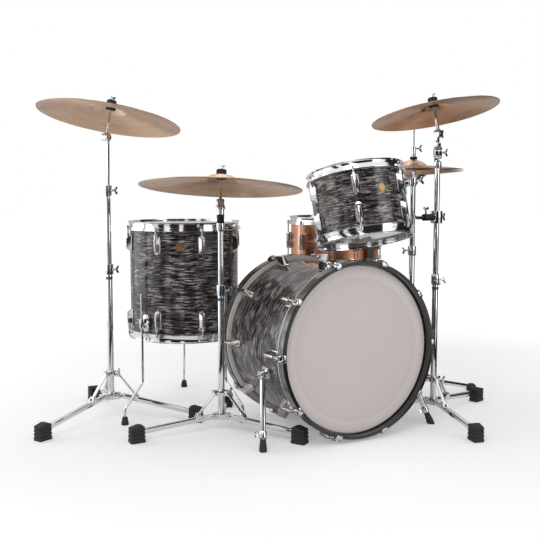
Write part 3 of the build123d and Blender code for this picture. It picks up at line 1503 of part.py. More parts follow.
# Snare stand: tripod, tube with a fork, and a tilting basket of three arms
lip_out = snare_r + SEAT_GAP + FILM + SEAT_GAP + HOOP_STEEL + HOOP_LIP
pad_out = lip_out + TURN_GAP + BASKET_PAD_T
fork_low = -TONGUE_R - TURN_GAP - BASKET_FORK_H
basket_z = FORK_UP + BASKET_ROOM
rim_z = SNARE_RIM_Z - SNARE_PIVOT_Z
arm_end_z = rim_z - BASKET_PAD_BASE - BASKET_ARM_T / 2


def basket_arm():
    """Flat arm that rises from the basket's hub to its pad."""
    with BuildPart() as arm:
        with BuildSketch(Plane.XZ):
            with BuildLine() as route:
                FilletPolyline(
                    (BASKET_HUB_R / 2, basket_z + BASKET_HUB_H / 2),
                    (BASKET_KNEE, basket_z + BASKET_HUB_H / 2),
                    (lip_out - BASKET_PAD_W, arm_end_z),
                    (pad_out, arm_end_z),
                    radius=BASKET_PAD_W,
                )
            trace(route.line, BASKET_ARM_T)
        extrude(amount=BASKET_ARM_W / 2, both=True)
    return arm.part


def basket_pad():
    """Rubber grip that carries the rim and stands up outside it."""
    low = rim_z - BASKET_PAD_BASE
    with BuildPart() as pad:
        with BuildSketch(Plane.XZ):
            with BuildLine():
                Polyline(
                    (lip_out - BASKET_PAD_T, low),
                    (pad_out, low),
                    (pad_out, rim_z + BASKET_PAD_UP - BASKET_PAD_T / 3),
                    (pad_out - BASKET_PAD_T / 3, rim_z + BASKET_PAD_UP),
                    (lip_out + TURN_GAP, rim_z + BASKET_PAD_UP),
                    (lip_out + TURN_GAP, rim_z - SEAT_GAP),
                    (lip_out - BASKET_PAD_T, rim_z - SEAT_GAP),
                    close=True,
                )
            make_face()
        extrude(amount=BASKET_PAD_W / 2, both=True)
    return pad.part


def basket():
    """Tongue, hub and arms in one weldment, with three rubber pads."""
    with BuildPart() as cradle:
        add(tongue(TOP_ROD_R, basket_z + BASKET_HUB_H / 2))
        add(rod(BASKET_HUB_R, basket_z, basket_z + BASKET_HUB_H))
        for angle in even(BASKET_TURN):
            add(basket_arm().moved(Location((0, 0, 0), (0, 0, angle))))
    return group(cradle.part, spread(basket_pad(), even(BASKET_TURN)))


snare_top = upright(SNARE_AT, SNARE_PIVOT_Z)
snare_base = group(
    tripod(SNARE_HUB_Z, SNARE_STAND_LEGS, SNARE_LEG_RADIUS),
    base_tube(SNARE_HUB_Z - HUB_H / 2, SNARE_CLAMP_Z, CLAMP_TURN),
)
snare_feet = spread(rubber_foot(SNARE_HUB_Z, SNARE_LEG_RADIUS), even(SNARE_STAND_LEGS))
snare_pipe = inner_tube(SNARE_CLAMP_Z, SNARE_PIVOT_Z + fork_low)
snare_fork = fork(fork_low, MIDDLE_R)
write(seated(snare_base, upright(SNARE_AT)), "snare_stand_base")
write(group(seated(snare_pipe, upright(SNARE_AT)), seated(snare_fork, snare_top)), "snare_stand_tube")
write(seated(basket(), snare_top), "snare_basket")


# Hi-hat: two legs and a pedal frame carry the tube; the footboard pulls the rod
HIHAT = upright(HIHAT_AT)
PEDAL = upright(HIHAT_AT, 0, HIHAT_PEDAL_TO)
hihat_low = FRAME_BRIDGE_Z + FRAME_T
hihat_leg_route = (
    (HUB_R + SEAT_GAP, HIHAT_HUB_Z),
    (LEG_FLAT, HIHAT_HUB_Z),
    HIHAT_KNEE,
    (HIHAT_LEG_RADIUS, HIHAT_LEG_END_Z),
)
pedal_slope = radians(PEDAL_RISE)
pull_low = HEEL_Z + (PEDAL_LEN + HIHAT_ROD_R) * tan(pedal_slope) + PEDAL_T / cos(pedal_slope)


hihat_leg = leg_bar(STAND_LEG_H, *hihat_leg_route)


def hihat_foot():
    """Low round foot cut out for the end of its leg."""
    with BuildPart() as foot:
        add(
            turned(
                (0, 0),
                (HIHAT_FOOT_R, 0),
                (HIHAT_FOOT_R, HIHAT_FOOT_H - FOOT_SLANT),
                (HIHAT_FOOT_R - FOOT_SLANT, HIHAT_FOOT_H),
                (0, HIHAT_FOOT_H),
            ).moved(Location((HIHAT_LEG_RADIUS, 0, 0)))
        )
        add(hihat_leg, mode=Mode.SUBTRACT)
    return foot.part


def pedal_frame():
    """Base bar, strap, heel block, two posts and the bridge that carries the tube."""
    post_y = FRAME_W / 2 - 2 * FRAME_POST_R
    heel_top = HEEL_Z - PEDAL_T
    with BuildPart() as frame:
        with BuildSketch():
            Rectangle(FRAME_BRIDGE_LEN, FRAME_W)
            chamfer(vertices(), FRAME_T / 2)
        extrude(amount=FRAME_T)
        with BuildSketch():
            with Locations((PEDAL_LEN / 2, 0)):
                Rectangle(PEDAL_LEN, FRAME_STRAP_W)
        extrude(amount=FRAME_STRAP_T)
        with BuildSketch():
            with Locations((PEDAL_LEN + HEEL_LEN / 4, 0)):
                Rectangle(HEEL_LEN, PEDAL_W)
            chamfer(vertices(), FRAME_T / 2)
        extrude(amount=heel_top)
        with BuildSketch(Plane.XY.offset(heel_top)):
            with Locations((PEDAL_LEN, HEEL_EAR_Y), (PEDAL_LEN, -HEEL_EAR_Y)):
                Rectangle(2 * PEDAL_T, HEEL_EAR_W)
        extrude(amount=2 * PEDAL_T)
        add(cross_disc(PIN_R, -HEEL_EAR_Y, HEEL_EAR_Y).moved(Location((PEDAL_LEN, 0, HEEL_Z))))
        with BuildSketch(Plane.XY.offset(FRAME_T)):
            with Locations((0, post_y), (0, -post_y)):
                Circle(FRAME_POST_R)
        extrude(amount=FRAME_BRIDGE_Z - FRAME_T)
        with BuildSketch(Plane.XY.offset(FRAME_BRIDGE_Z)):
            Rectangle(FRAME_BRIDGE_LEN, FRAME_W)
            chamfer(vertices(), FRAME_T / 2)
            Circle(MIDDLE_R, mode=Mode.SUBTRACT)
        extrude(amount=FRAME_T)
    return frame.part


def footboard():
    """Ribbed board that turns on the heel pin and rises towards the stand."""
    length = (PEDAL_LEN - PEDAL_TOE) / cos(pedal_slope)
    eye_w = 2 * (HEEL_EAR_Y - HEEL_EAR_W / 2 - TURN_GAP)
    with BuildPart() as board:
        with BuildSketch(Plane.XZ):
            with Locations((-length / 2 - PEDAL_T, PEDAL_T / 2)):
                Rectangle(length - 2 * PEDAL_T, PEDAL_T)
        extrude(amount=PEDAL_W / 2, both=True)
        with BuildSketch(Plane.XZ):
            Circle(PEDAL_T - TURN_GAP)
            with Locations((-PEDAL_T, PEDAL_T / 4)):
                Rectangle(2 * PEDAL_T, PEDAL_T / 2)
            Circle(PIN_R + SLIDE_GAP, mode=Mode.SUBTRACT)
        extrude(amount=eye_w / 2, both=True)
        with BuildSketch(Plane.XY.offset(PEDAL_T)):
            with Locations((-length / 2, 0)):
                with GridLocations(length / PEDAL_RIBS, 0, PEDAL_RIBS - 1, 1):
                    Rectangle(PEDAL_RIB_W, PEDAL_W - 2 * PEDAL_T)
        extrude(amount=-PEDAL_RIB_W / 2, mode=Mode.SUBTRACT)
    return board.part.rotate(Axis.Y, PEDAL_RISE).moved(Location((PEDAL_LEN, 0, HEEL_Z)))


hihat_ring = eared_ring(HUB_R, HUB_H, HIHAT_LEGS).moved(Location((0, 0, HIHAT_HUB_Z)))
hihat_base = group(
    hihat_ring,
    spread(hihat_leg, HIHAT_LEGS),
    base_tube(hihat_low, HIHAT_CLAMP_Z, HIHAT_CLAMP_TURN),
)
write(group(seated(hihat_base, HIHAT), seated(pedal_frame(), PEDAL)), "hihat_stand_base")
write(seated(footboard(), PEDAL), "hihat_footboard")
hihat_feet = spread(hihat_foot(), HIHAT_LEGS)
feet = group(
    left_feet,
    centre_feet,
    right_feet,
    seated(snare_feet, upright(SNARE_AT)),
    seated(hihat_feet, HIHAT),
)
write(feet, "stand_feet")

hihat_rise = HIHAT_CYMBAL[1]
seat_top = HIHAT_EDGE_Z - hihat_rise - TURN_GAP
seat_low = seat_top - LOWER_FELT_H - CUP_H
hihat_seat = turned(
    (CYMBAL_HOLE_R, seat_low),
    (MIDDLE_R, seat_low),
    (FELT_R, seat_low + CUP_H),
    (FELT_R, seat_top),
    (CYMBAL_HOLE_R, seat_top),
)
hihat_pipe = inner_tube(HIHAT_CLAMP_Z, seat_low)
top_edge = HIHAT_EDGE_Z + 2 * CYMBAL_T + HIHAT_EDGE_GAP
top_bell = top_edge + hihat_rise
nut_top = top_bell - CYMBAL_T - bell_drop(HIHAT_CYMBAL, CLUTCH_R) - TURN_GAP
felt_low = top_bell + TURN_GAP
clutch_low = felt_low + CLUTCH_FELT_H
clutch_bore = HIHAT_ROD_R + SEAT_GAP
clutch_screw = wing_screw().moved(Location((CLUTCH_R, 0, clutch_low + CLUTCH_H - 2 * WING_SHANK_R)))
pull_rod = group(
    rod(HIHAT_ROD_R, pull_low + TURN_GAP, HIHAT_ROD_TOP),
    tube(CLUTCH_R, clutch_bore, nut_top - CLUTCH_NUT_H, nut_top),
    tube(CLUTCH_FELT_R, clutch_bore, felt_low, clutch_low),
    tube(CLUTCH_R, clutch_bore, clutch_low, clutch_low + CLUTCH_H),
    clutch_screw,
)
lower_cymbal = cymbal(HIHAT_CYMBAL).mirror(Plane.XY).moved(Location((0, 0, HIHAT_EDGE_Z)))
write(seated(group(hihat_pipe, hihat_seat), HIHAT), "hihat_upper_tube")
write(seated(lower_cymbal, HIHAT), "hihat_bottom_cymbal")
write(seated(pull_rod, HIHAT), "hihat_pull_rod")
write(seated(cymbal(HIHAT_CYMBAL).moved(Location((0, 0, top_edge))), HIHAT), "hihat_top_cymbal")
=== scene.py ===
"""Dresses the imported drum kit: oyster wrap, coated heads, chrome, bronze, copper and rubber.

Metres, +Z up, floor at Z = 0, seen from -Y. The CAD pieces stay where they are; castings get eased
copies, the cymbals are turned anew, and the studio is set for a plain catalogue picture.
"""

import json
from math import atan2, cos, radians, sin, sqrt, tau

import bpy
from mathutils import Matrix, Vector

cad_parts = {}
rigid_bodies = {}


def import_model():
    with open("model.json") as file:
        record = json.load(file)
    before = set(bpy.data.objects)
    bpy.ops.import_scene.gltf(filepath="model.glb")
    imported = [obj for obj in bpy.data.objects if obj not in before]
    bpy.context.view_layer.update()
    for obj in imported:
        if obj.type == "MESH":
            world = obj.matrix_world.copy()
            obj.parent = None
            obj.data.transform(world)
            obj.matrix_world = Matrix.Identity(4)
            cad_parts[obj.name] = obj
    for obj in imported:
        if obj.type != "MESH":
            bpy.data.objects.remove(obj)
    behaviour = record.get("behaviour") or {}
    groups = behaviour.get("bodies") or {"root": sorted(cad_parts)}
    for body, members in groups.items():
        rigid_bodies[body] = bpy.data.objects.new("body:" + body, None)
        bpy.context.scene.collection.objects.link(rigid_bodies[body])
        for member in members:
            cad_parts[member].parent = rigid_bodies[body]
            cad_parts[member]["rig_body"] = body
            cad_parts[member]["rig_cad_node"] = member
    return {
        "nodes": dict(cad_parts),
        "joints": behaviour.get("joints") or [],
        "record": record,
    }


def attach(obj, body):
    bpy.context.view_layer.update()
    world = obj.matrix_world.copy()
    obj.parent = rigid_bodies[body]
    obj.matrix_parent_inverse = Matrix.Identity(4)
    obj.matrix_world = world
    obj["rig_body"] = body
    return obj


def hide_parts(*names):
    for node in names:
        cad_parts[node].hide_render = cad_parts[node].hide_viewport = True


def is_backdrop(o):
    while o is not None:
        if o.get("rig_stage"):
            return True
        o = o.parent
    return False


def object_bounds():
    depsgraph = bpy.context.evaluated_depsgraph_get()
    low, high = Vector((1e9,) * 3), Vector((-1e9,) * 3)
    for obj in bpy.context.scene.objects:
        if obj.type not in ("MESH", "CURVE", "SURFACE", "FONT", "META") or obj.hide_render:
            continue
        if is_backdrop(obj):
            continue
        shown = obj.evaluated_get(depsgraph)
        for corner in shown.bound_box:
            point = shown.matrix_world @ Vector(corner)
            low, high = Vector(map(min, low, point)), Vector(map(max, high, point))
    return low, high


bl_info = {
    "name": "Acoustic Drum Kit",
    "version": (1, 0, 0),
    "blender": (4, 5, 0),
    "location": "View3D > Sidebar > Drum Kit",
    "description": "Finishes for a drum kit, and a studio to show it in",
    "category": "Object",
}

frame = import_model()
CAD_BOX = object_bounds()
NODES = frame["nodes"]
JOINTS = {joint["name"]: joint for joint in frame["joints"]}
BODIES = frame["record"]["behaviour"]["bodies"]
BODY_OF = {node: body for body, nodes in BODIES.items() for node in nodes}
MM = 0.001

# Meshing: lengths, and angles in degrees
MERGE = 0.01 * MM
FLAT_ANGLE = 1.5
EASE_ANGLE = 38
SMOOTH_ANGLE = 34
TURNED_SMOOTH_ANGLE = 40  # for cymbals and badges
TUBE_EASE_SHARE = 0.7  # rounding of tubes and fittings, to that of castings

# Drum sizes that the finishes follow
BASS_R = 0.2794
BASS_DEPTH = 0.4064
BASS_HOOP_OUT = 0.297
BASS_HOOP_OVER = 0.029
BASS_HOOP_W = 0.038
INLAY_HALF, INLAY_END = 0.0138, 0.0144  # where the strip in a hoop fades out
FLOOR_TOM_R = 0.2032
RACK_TOM_R = 0.1651
SNARE_R = 0.1778
FRONT_RING_SHARE = 0.86  # radius of the front head's outer ring, to the shell's

# Cymbals: diameter, height, bell radius, bell height
LEFT_CYMBAL = (0.508, 0.052, 0.060, 0.022)
CENTRE_CYMBAL = (0.5588, 0.048, 0.066, 0.022)
RIGHT_CYMBAL = (0.4572, 0.045, 0.056, 0.020)
HIHAT_CYMBAL = (0.381, 0.036, 0.052, 0.022)
CYMBAL_HOLE = 0.006
CYMBAL_T = 0.0016
PLATE_SHARE = 0.94  # of that thickness, so that a turned plate stays inside its solid
BOW_SWELL = 0.6
BOW_RINGS = 18
BELL_RINGS = 12

# Badges
BADGE_T = 1.2 * MM
BADGE_RIM_SHARE = 0.1
BADGE_DISH = 0.4 * MM
BADGE_SINK = 0.15 * MM

# Where the finish of a piece changes
FLESH_RING_IN = 1.2 * MM  # outside the shell
LOWER_HEAD_TOP = 30 * MM
NO_LOWER_HEAD = -1.0  # below everything, for the bass drum
SPUR_TIP_TOP = 39.5 * MM
LEG_SHOE_TOP = 28.2 * MM
BANDS = {"left": 0.519, "centre": 0.459, "right": 0.478}
BAND_HALF = 6 * MM
BAND_IN, BAND_OUT = 11.2 * MM, 12.4 * MM
CLAMP_REACH = 54 * MM  # from the tube to the clamp's dark block
CLAMP_BLOCK_R = 30 * MM
CLAMP_BLOCK_TOP = 0.7522
SEATS = {"left": 0.117, "centre": 0.094, "right": 0.116}  # on the posts, above the tilters' axes
FELT_BELOW, FELT_ABOVE, FELT_IN = 23 * MM, 16.5 * MM, 4.1 * MM
WING_NUT_FROM = 16.8 * MM
WING_NUT_TURN = 78
LOCK_TOP, LOCK_FOOT, LOCK_IN = 44 * MM, 73.6 * MM, 9.8 * MM  # below the centre tilter's axis
PAD_IN, PAD_FOOT = 0.17, -22.4 * MM  # from the snare drum's frame
HIHAT_FELT_FOOT, HIHAT_FELT_IN = 0.8551, 6.5 * MM
CLUTCH_FOOT, CLUTCH_TOP = 0.9490, 0.9610
CLUTCH_IN, CLUTCH_OUT = 4 * MM, 14.5 * MM

# Patterns, as features to the metre across the axis of a drum and along it
OYSTER_STREAK = (22.0, 22.0, 265.0)
OYSTER_THREAD = (50.0, 50.0, 700.0)
PLY_GRAIN = (22.0, 22.0, 260.0)
COPPER_SPIN = (6.0, 6.0, 300.0)
GLUE_LINES = 5200.0  # radians of a sine to the metre
WIRE_COILS = 4200.0

# Colours that are not settings
MAPLE, PALE_MAPLE, GLUE = (0.56, 0.39, 0.22, 1), (0.72, 0.55, 0.35, 1), (0.33, 0.21, 0.11, 1)
INLAY_BLACK, INLAY_PEARL = (0.07, 0.066, 0.07, 1), (0.34, 0.325, 0.335, 1)
# Painted shadow line along the edge of the front head's outer ring
RING_EDGE_SHADOW = (0.42, 0.41, 0.40, 1)
# Painted shade in the grooves and painted highlight on the crests of the snare wires' coils
WIRE_GROOVE_SHADE, WIRE_CREST_HIGHLIGHT = (0.32, 0.32, 0.33, 1), (0.78, 0.78, 0.78, 1)

# Camera
CAMERA_PLACE = (-0.01924, -3.10564, 0.8436)
CAMERA_DIP = 5.67
CAMERA_LENS = 55.62
CAMERA_SENSOR = 36

FLAG_AWAY = 2.4
FLAG_TALL = 2.2
MAT_FROM = 0.9
MAT_LIFT = 0.002
FLOOR_SIZE = 40
FLOOR_WHITENS = (1.0, 3.2, 0.26, 0.55)  # radii between which its added white rises, and how far
FLOOR_IN_METAL = 0.25  # share of that white that metal mirrors


def spot(origin, axis, across=(1, 0, 0)):
    up = Vector(axis).normalized()
    side = Vector(across)
    side = (side - up * side.dot(up)).normalized()
    turn = Matrix((side, up.cross(side), up)).transposed().to_4x4()
    return Matrix.Translation(origin) @ turn


def spin_spot(joint):
    """Frame on the axis of a joint."""
    return spot(JOINTS[joint]["pos_m"], JOINTS[joint]["axis"])


BASS = spot((0.07972, -0.00663, 0.29751), (0.470923, -0.881961, 0.019376), (0.8821, 0.4710, 0))
FLOOR_TOM = spot((-0.34524, 0.05836, 0.297), (0, 0, 1))
RACK_TOM = spot((0.3129, -0.1777, 0.66556), (-0.132888, 0.210208, 0.968583))
SNARE = spot((0.24476, 0.30936, 0.547), (0, 0, 1))
HIHAT = spot((0.53676, 0.15236, 0), (0, 0, 1))

# Node, shape and frame of each cymbal
CYMBALS = (
    ("left_cymbal", LEFT_CYMBAL, spin_spot("left_cymbal_spin")),
    ("centre_cymbal", CENTRE_CYMBAL, spin_spot("centre_cymbal_spin")),
    ("right_cymbal", RIGHT_CYMBAL, spin_spot("right_cymbal_spin")),
    ("hihat_bottom_cymbal", HIHAT_CYMBAL, HIHAT),
    ("hihat_top_cymbal", HIHAT_CYMBAL, HIHAT),
)
FINISH = bpy.data.materials


# Node trees
class Wiring:
    """Short calls that grow one node tree and feed its shader."""

    def __init__(self, tree, shader=None):
        self.tree = tree
        self.shader = tree.nodes[shader] if shader else None

    def plug(self, socket, value):
        """Join an output to a socket, or set a plain value on it."""
        if isinstance(value, bpy.types.NodeSocket):
            self.tree.links.new(value, socket)
        else:
            socket.default_value = value

    def add(self, kind, inputs=(), **settings):
        """New node with its settings, and its inputs by name or number."""
        made = self.tree.nodes.new("ShaderNode" + kind)
        for name, value in settings.items():
            setattr(made, name, value)
        for name, value in dict(inputs).items():
            self.plug(made.inputs[name], value)
        return made

    def set(self, **values):
        """Set or join sockets of the shader, named with underscores for spaces."""
        for label, value in values.items():
            self.plug(self.shader.inputs[label.replace("_", " ")], value)

    def effect(self, name, **inputs):
        """Outputs of a shared node group, placed here with its own values."""
        return self.add("Group", inputs, node_tree=bpy.data.node_groups[name]).outputs

    def math(self, operation, *values):
        """Result of a Math node."""
        return self.add("Math", enumerate(values), operation=operation).outputs[0]

    def times(self, first, second):
        """Product of two values."""
        return self.math("MULTIPLY", first, second)

    def gap(self, first, second):
        """Distance between two values."""
        return self.math("ABSOLUTE", self.math("SUBTRACT", first, second))

    def vector(self, operation, first, second):
        """Result of a Vector Math node."""
        return self.add("VectorMath", {0: first, 1: second}, operation=operation).outputs[0]

    def span(self, value, low, high, to_low=0.0, to_high=1.0):
        """A value carried smoothly from one range to another."""
        inputs = {"Value": value, "From Min": low, "From Max": high}
        inputs |= {"To Min": to_low, "To Max": to_high}
        return self.add("MapRange", inputs, interpolation_type="SMOOTHSTEP").outputs["Result"]

    def noise(self, vector, scale, detail=2.0, rough=0.5, warp=0.0):
        """Value of a noise texture."""
        inputs = {"Vector": vector, "Scale": scale, "Detail": detail}
        inputs |= {"Roughness": rough, "Distortion": warp}
        return self.add("TexNoise", inputs).outputs["Fac"]

    def noise_along(self, value, scale, detail=2.0):
        """Value of a noise texture along one number."""
        inputs = {"W": self.times(value, scale), "Scale": 1.0, "Detail": detail}
        return self.add("TexNoise", inputs, noise_dimensions="1D").outputs["Fac"]

    def blend(self, factor, first, second):
        """Two colours mixed by a factor."""
        mix = self.add("Mix", data_type="RGBA")
        self.plug(mix.inputs["Factor"], factor)
        self.plug(mix.inputs["A"], first)
        self.plug(mix.inputs["B"], second)
        return mix.outputs["Result"]

    def bump(self, height, strength, distance):
        """Give the shader its normal from a height."""
        inputs = {"Height": height, "Strength": strength, "Distance": distance}
        self.set(Normal=self.add("Bump", inputs).outputs["Normal"])

    def place(self, matrix=None):
        """Object coordinates, in the frame of a drum or cymbal if one is given."""
        here = self.add("TexCoord").outputs["Object"]
        if matrix is None:
            return here
        move, turn = matrix.to_translation(), matrix.to_euler()
        inputs = {"Vector": here, "Location": move, "Rotation": turn}
        return self.add("Mapping", inputs, vector_type="TEXTURE").outputs["Vector"]


def colour(rgb):
    """Colour of a property as a socket takes it."""
    return (*rgb, 1.0)


def new_effect(name, inputs, outputs):
    """New shader node group: its wiring and the sockets that give its inputs."""
    tree = bpy.data.node_groups.new(name, "ShaderNodeTree")
    for label, kind in inputs:
        tree.interface.new_socket(label, in_out="INPUT", socket_type="NodeSocket" + kind)
    for label, kind in outputs:
        tree.interface.new_socket(label, in_out="OUTPUT", socket_type="NodeSocket" + kind)
    return Wiring(tree), tree.nodes.new("NodeGroupInput").outputs


def close_effect(wire, **results):
    """Join the results of a node group to its outputs."""
    end = wire.tree.nodes.new("NodeGroupOutput")
    for label, value in results.items():
        wire.plug(end.inputs[label], value)


def make_effects():
    """Node groups that several finishes share."""
    wire, given = new_effect(
        "Round", [("Vector", "Vector")], [("Radius", "Float"), ("Height", "Float")]
    )
    parts = wire.add("SeparateXYZ", {"Vector": given["Vector"]}).outputs
    squares = [wire.times(parts[n], parts[n]) for n in (0, 1)]
    radius = wire.math("SQRT", wire.math("ADD", *squares))
    close_effect(wire, Radius=radius, Height=parts[2])

    wire, given = new_effect(
        "Handling",
        [("Vector", "Vector"), ("Scale", "Float"), ("Low", "Float"), ("High", "Float")],
        [("Roughness", "Float"), ("Mark", "Float")],
    )
    smear = wire.noise(given["Vector"], given["Scale"], detail=4.0, rough=0.6, warp=0.4)
    print_scale = wire.times(given["Scale"], 7.0)
    prints = wire.noise(given["Vector"], print_scale, detail=3.0, rough=0.7)
    mark = wire.span(wire.times(smear, wire.math("ADD", prints, 0.5)), 0.36, 0.72)
    gain = wire.math("SUBTRACT", given["High"], given["Low"])
    rough = wire.math("ADD", given["Low"], wire.times(mark, gain))
    close_effect(wire, Roughness=rough, Mark=mark)

    wire, given = new_effect(
        "Oyster",
        [("Vector", "Vector"), ("Black", "Color"), ("Pearl", "Color")],
        [("Color", "Color")],
    )
    drift = wire.noise(given["Vector"], 11.0)
    wander = wire.times(wire.math("SUBTRACT", drift, 0.5), 0.016)
    shove = wire.add("CombineXYZ", {"Z": wander}).outputs[0]
    moved = wire.vector("ADD", given["Vector"], shove)
    drawn = wire.vector("MULTIPLY", moved, OYSTER_STREAK)
    fine = wire.vector("MULTIPLY", moved, OYSTER_THREAD)
    band = wire.noise(drawn, 1.0, detail=3.0, rough=0.55, warp=0.35)
    thread = wire.noise(fine, 1.0, warp=0.3)
    ply = wire.math("ADD", wire.times(band, 0.64), wire.times(thread, 0.36))
    streak = wire.span(ply, 0.475, 0.60)
    haze = wire.span(band, 0.40, 0.62, 0.0, 0.12)
    glow = wire.span(wire.noise(given["Vector"], 26.0, detail=3.0), 0.36, 0.62, 0.2, 1.0)
    pearl = wire.math("MAXIMUM", wire.times(streak, glow), haze)
    close_effect(wire, Color=wire.blend(pearl, given["Black"], given["Pearl"]))

    wire, given = new_effect(
        "Lathe",
        [("Radius", "Float"), ("Pitch", "Float")],
        [("Height", "Float"), ("Tone", "Float")],
    )
    turns = wire.math("DIVIDE", given["Radius"], given["Pitch"])
    ridge = wire.math("SINE", wire.times(turns, tau))
    ring = wire.noise_along(turns, 0.23, detail=4.0)
    broad = wire.noise_along(turns, 0.035)
    tone = wire.math("ADD", wire.times(ring, 0.55), wire.times(broad, 0.45))
    height = wire.math("ADD", wire.times(ridge, 0.5), ring)
    close_effect(wire, Height=height, Tone=wire.span(tone, 0.32, 0.68))


def finish(name):
    """Wiring of a new node material and its Principled shader."""
    material = bpy.data.materials.new(name)
    material.use_nodes = True
    return Wiring(material.node_tree, "Principled BSDF")


def metal(name, base, shade, low, high, scale=18.0, grain=0.0):
    """Plated or cast metal with handling marks and, where wanted, a fine casting grain."""
    wire = finish(name)
    here = wire.place()
    marks = wire.effect("Handling", Vector=here, Scale=scale, Low=low, High=high)
    tone = wire.blend(marks["Mark"], colour(base), colour([c * shade for c in base]))
    wire.set(Base_Color=tone, Metallic=1.0, Roughness=marks["Roughness"])
    skin = wire.noise(here, 900.0 if grain else 60.0)
    wire.bump(skin, grain or 0.02, 0.0004)


def oyster_wrap(name, matrix, look):
    """Pearl wrap whose streaks run round the shell, under a clear glossy face."""
    wire = finish(name)
    here = wire.place(matrix)
    black, pearl = colour(look.wrap_black), colour(look.wrap_pearl)
    oyster = wire.effect("Oyster", Vector=here, Black=black, Pearl=pearl)
    marks = wire.effect("Handling", Vector=here, Scale=9.0, Low=0.16, High=0.26)
    wave = wire.noise(here, 14.0, detail=1.0)
    wire.set(Base_Color=oyster["Color"], Roughness=marks["Roughness"])
    wire.set(Coat_Weight=0.4, Coat_Roughness=0.04, Specular_IOR_Level=0.25)
    wire.bump(wave, 0.08, 0.002)


def maple_ply(name, matrix):
    """Bare ply inside a shell: grain along the wall, glue lines on the bearing edge."""
    wire = finish(name)
    here = wire.place(matrix)
    drawn = wire.vector("MULTIPLY", here, PLY_GRAIN)
    grain = wire.noise(drawn, 1.0, detail=5.0, rough=0.6, warp=0.8)
    round_at = wire.effect("Round", Vector=here)
    layers = wire.math("SINE", wire.times(round_at["Radius"], GLUE_LINES))
    glue = wire.span(layers, 0.55, 0.95)
    wood = wire.blend(wire.span(grain, 0.3, 0.7), MAPLE, PALE_MAPLE)
    tone = wire.blend(wire.times(glue, 0.18), wood, GLUE)
    wire.set(Base_Color=tone, Roughness=wire.span(grain, 0.2, 0.8, 0.42, 0.6))
    wire.bump(grain, 0.1, 0.0004)


def coated_film(name, matrix, look, ring=None):
    """Sprayed film: fine grain, faint mottling, and a lighter outer ring where one is fitted."""
    wire = finish(name)
    here = wire.place(matrix)
    mottle = wire.span(wire.noise(here, 7.0, detail=4.0, rough=0.6), 0.3, 0.75, 0.0, 0.35)
    spray = wire.noise(here, 1500.0, rough=0.7)
    if ring:
        shade = [c * 0.95 for c in look.film_front]
        film = wire.blend(mottle, colour(look.film_front), colour(shade))
        radius = wire.effect("Round", Vector=here)["Radius"]
        outer = wire.span(radius, ring - MM, ring + MM)
        # A thin painted shadow line where the outer ring's edge meets the film
        ring_shadow = wire.math("SUBTRACT", 1.0, wire.span(wire.gap(radius, ring), 0.6 * MM, 2.2 * MM))
        film = wire.blend(outer, film, colour(look.film_ring))
        film = wire.blend(wire.times(ring_shadow, 0.22), film, RING_EDGE_SHADOW)
    else:
        film = wire.blend(mottle, colour(look.film_white), colour(look.film_shade))
    rough = wire.span(spray, 0.2, 0.8, 0.46, 0.62)
    wire.set(Base_Color=film, Roughness=rough)
    wire.bump(spray, 0.12, 0.0003)


def plain_film(name, look):
    """Smooth glossy film of the lower heads, a little clouded."""
    wire = finish(name)
    here = wire.place()
    cloud = wire.span(wire.noise(here, 9.0, detail=3.0, rough=0.6), 0.3, 0.7)
    marks = wire.effect("Handling", Vector=here, Scale=14.0, Low=0.18, High=0.3)
    # Clouded film whose warm tan is painted light, standing in for light through the film and the
    # copper's reflection
    film = wire.blend(cloud, colour(look.lower_film_and_reflection), colour(look.film_ring))
    wire.set(Base_Color=film, Roughness=marks["Roughness"])
    wire.set(Coat_Weight=1.0, Coat_Roughness=0.03, Coat_IOR=1.7)
    wire.bump(cloud, 0.04, 0.0006)


def hoop_lacquer(name, look):
    """Black lacquered hoop with an oyster strip let into its outer face."""
    wire = finish(name)
    here = wire.place(BASS)
    round_at = wire.effect("Round", Vector=here)
    oyster = wire.effect("Oyster", Vector=here, Black=INLAY_BLACK, Pearl=INLAY_PEARL)
    from_middle = wire.gap(round_at["Height"], BASS_DEPTH / 2)
    hoop_middle = BASS_DEPTH / 2 + BASS_HOOP_OVER - BASS_HOOP_W / 2
    aside = wire.gap(from_middle, hoop_middle)
    strip = wire.math("SUBTRACT", 1.0, wire.span(aside, INLAY_HALF, INLAY_END))
    outside = wire.span(round_at["Radius"], BASS_HOOP_OUT - 0.0015, BASS_HOOP_OUT - 0.0008)
    inlay = wire.times(strip, outside)
    marks = wire.effect("Handling", Vector=here, Scale=12.0, Low=0.14, High=0.30)
    tone = wire.blend(inlay, colour(look.hoop_black), oyster["Color"])
    wire.set(Base_Color=tone, Roughness=marks["Roughness"], Coat_Weight=0.5, Coat_Roughness=0.06)
    wire.bump(wire.noise(here, 40.0), 0.05, 0.0006)


def lathed_bronze(name, matrix, shape, look, pitch):
    """Turned bronze: fine rings from hole to edge, broad tone rings and a cleaner bell."""
    wire = finish(name)
    here = wire.place(matrix)
    round_at = wire.effect("Round", Vector=here)
    lathe = wire.effect("Lathe", Radius=round_at["Radius"], Pitch=pitch)
    bell_r = shape[2]
    bow = wire.span(round_at["Radius"], bell_r - 0.004, bell_r + 0.003)
    bell = wire.math("SUBTRACT", 1.0, bow)
    tone = wire.blend(lathe["Tone"], colour(look.bronze_dark), colour(look.bronze))
    tarnish = wire.span(wire.noise(here, 5.0, detail=4.0, rough=0.6), 0.35, 0.8, 0.0, 0.4)
    tone = wire.blend(tarnish, tone, colour(look.bronze_tarnish))
    tone = wire.blend(wire.times(bell, 0.55), tone, colour(look.bronze_bell))
    marks = wire.effect("Handling", Vector=here, Scale=11.0, Low=0.30, High=0.43)
    hammer = wire.noise(here, 26.0, detail=1.0)
    height = wire.math("ADD", wire.times(lathe["Height"], 0.12), hammer)
    wire.set(Base_Color=tone, Metallic=1.0, Roughness=marks["Roughness"])
    wire.set(Anisotropic=0.97, Tangent=outward(wire, matrix))
    wire.bump(height, 0.35, 0.0007)


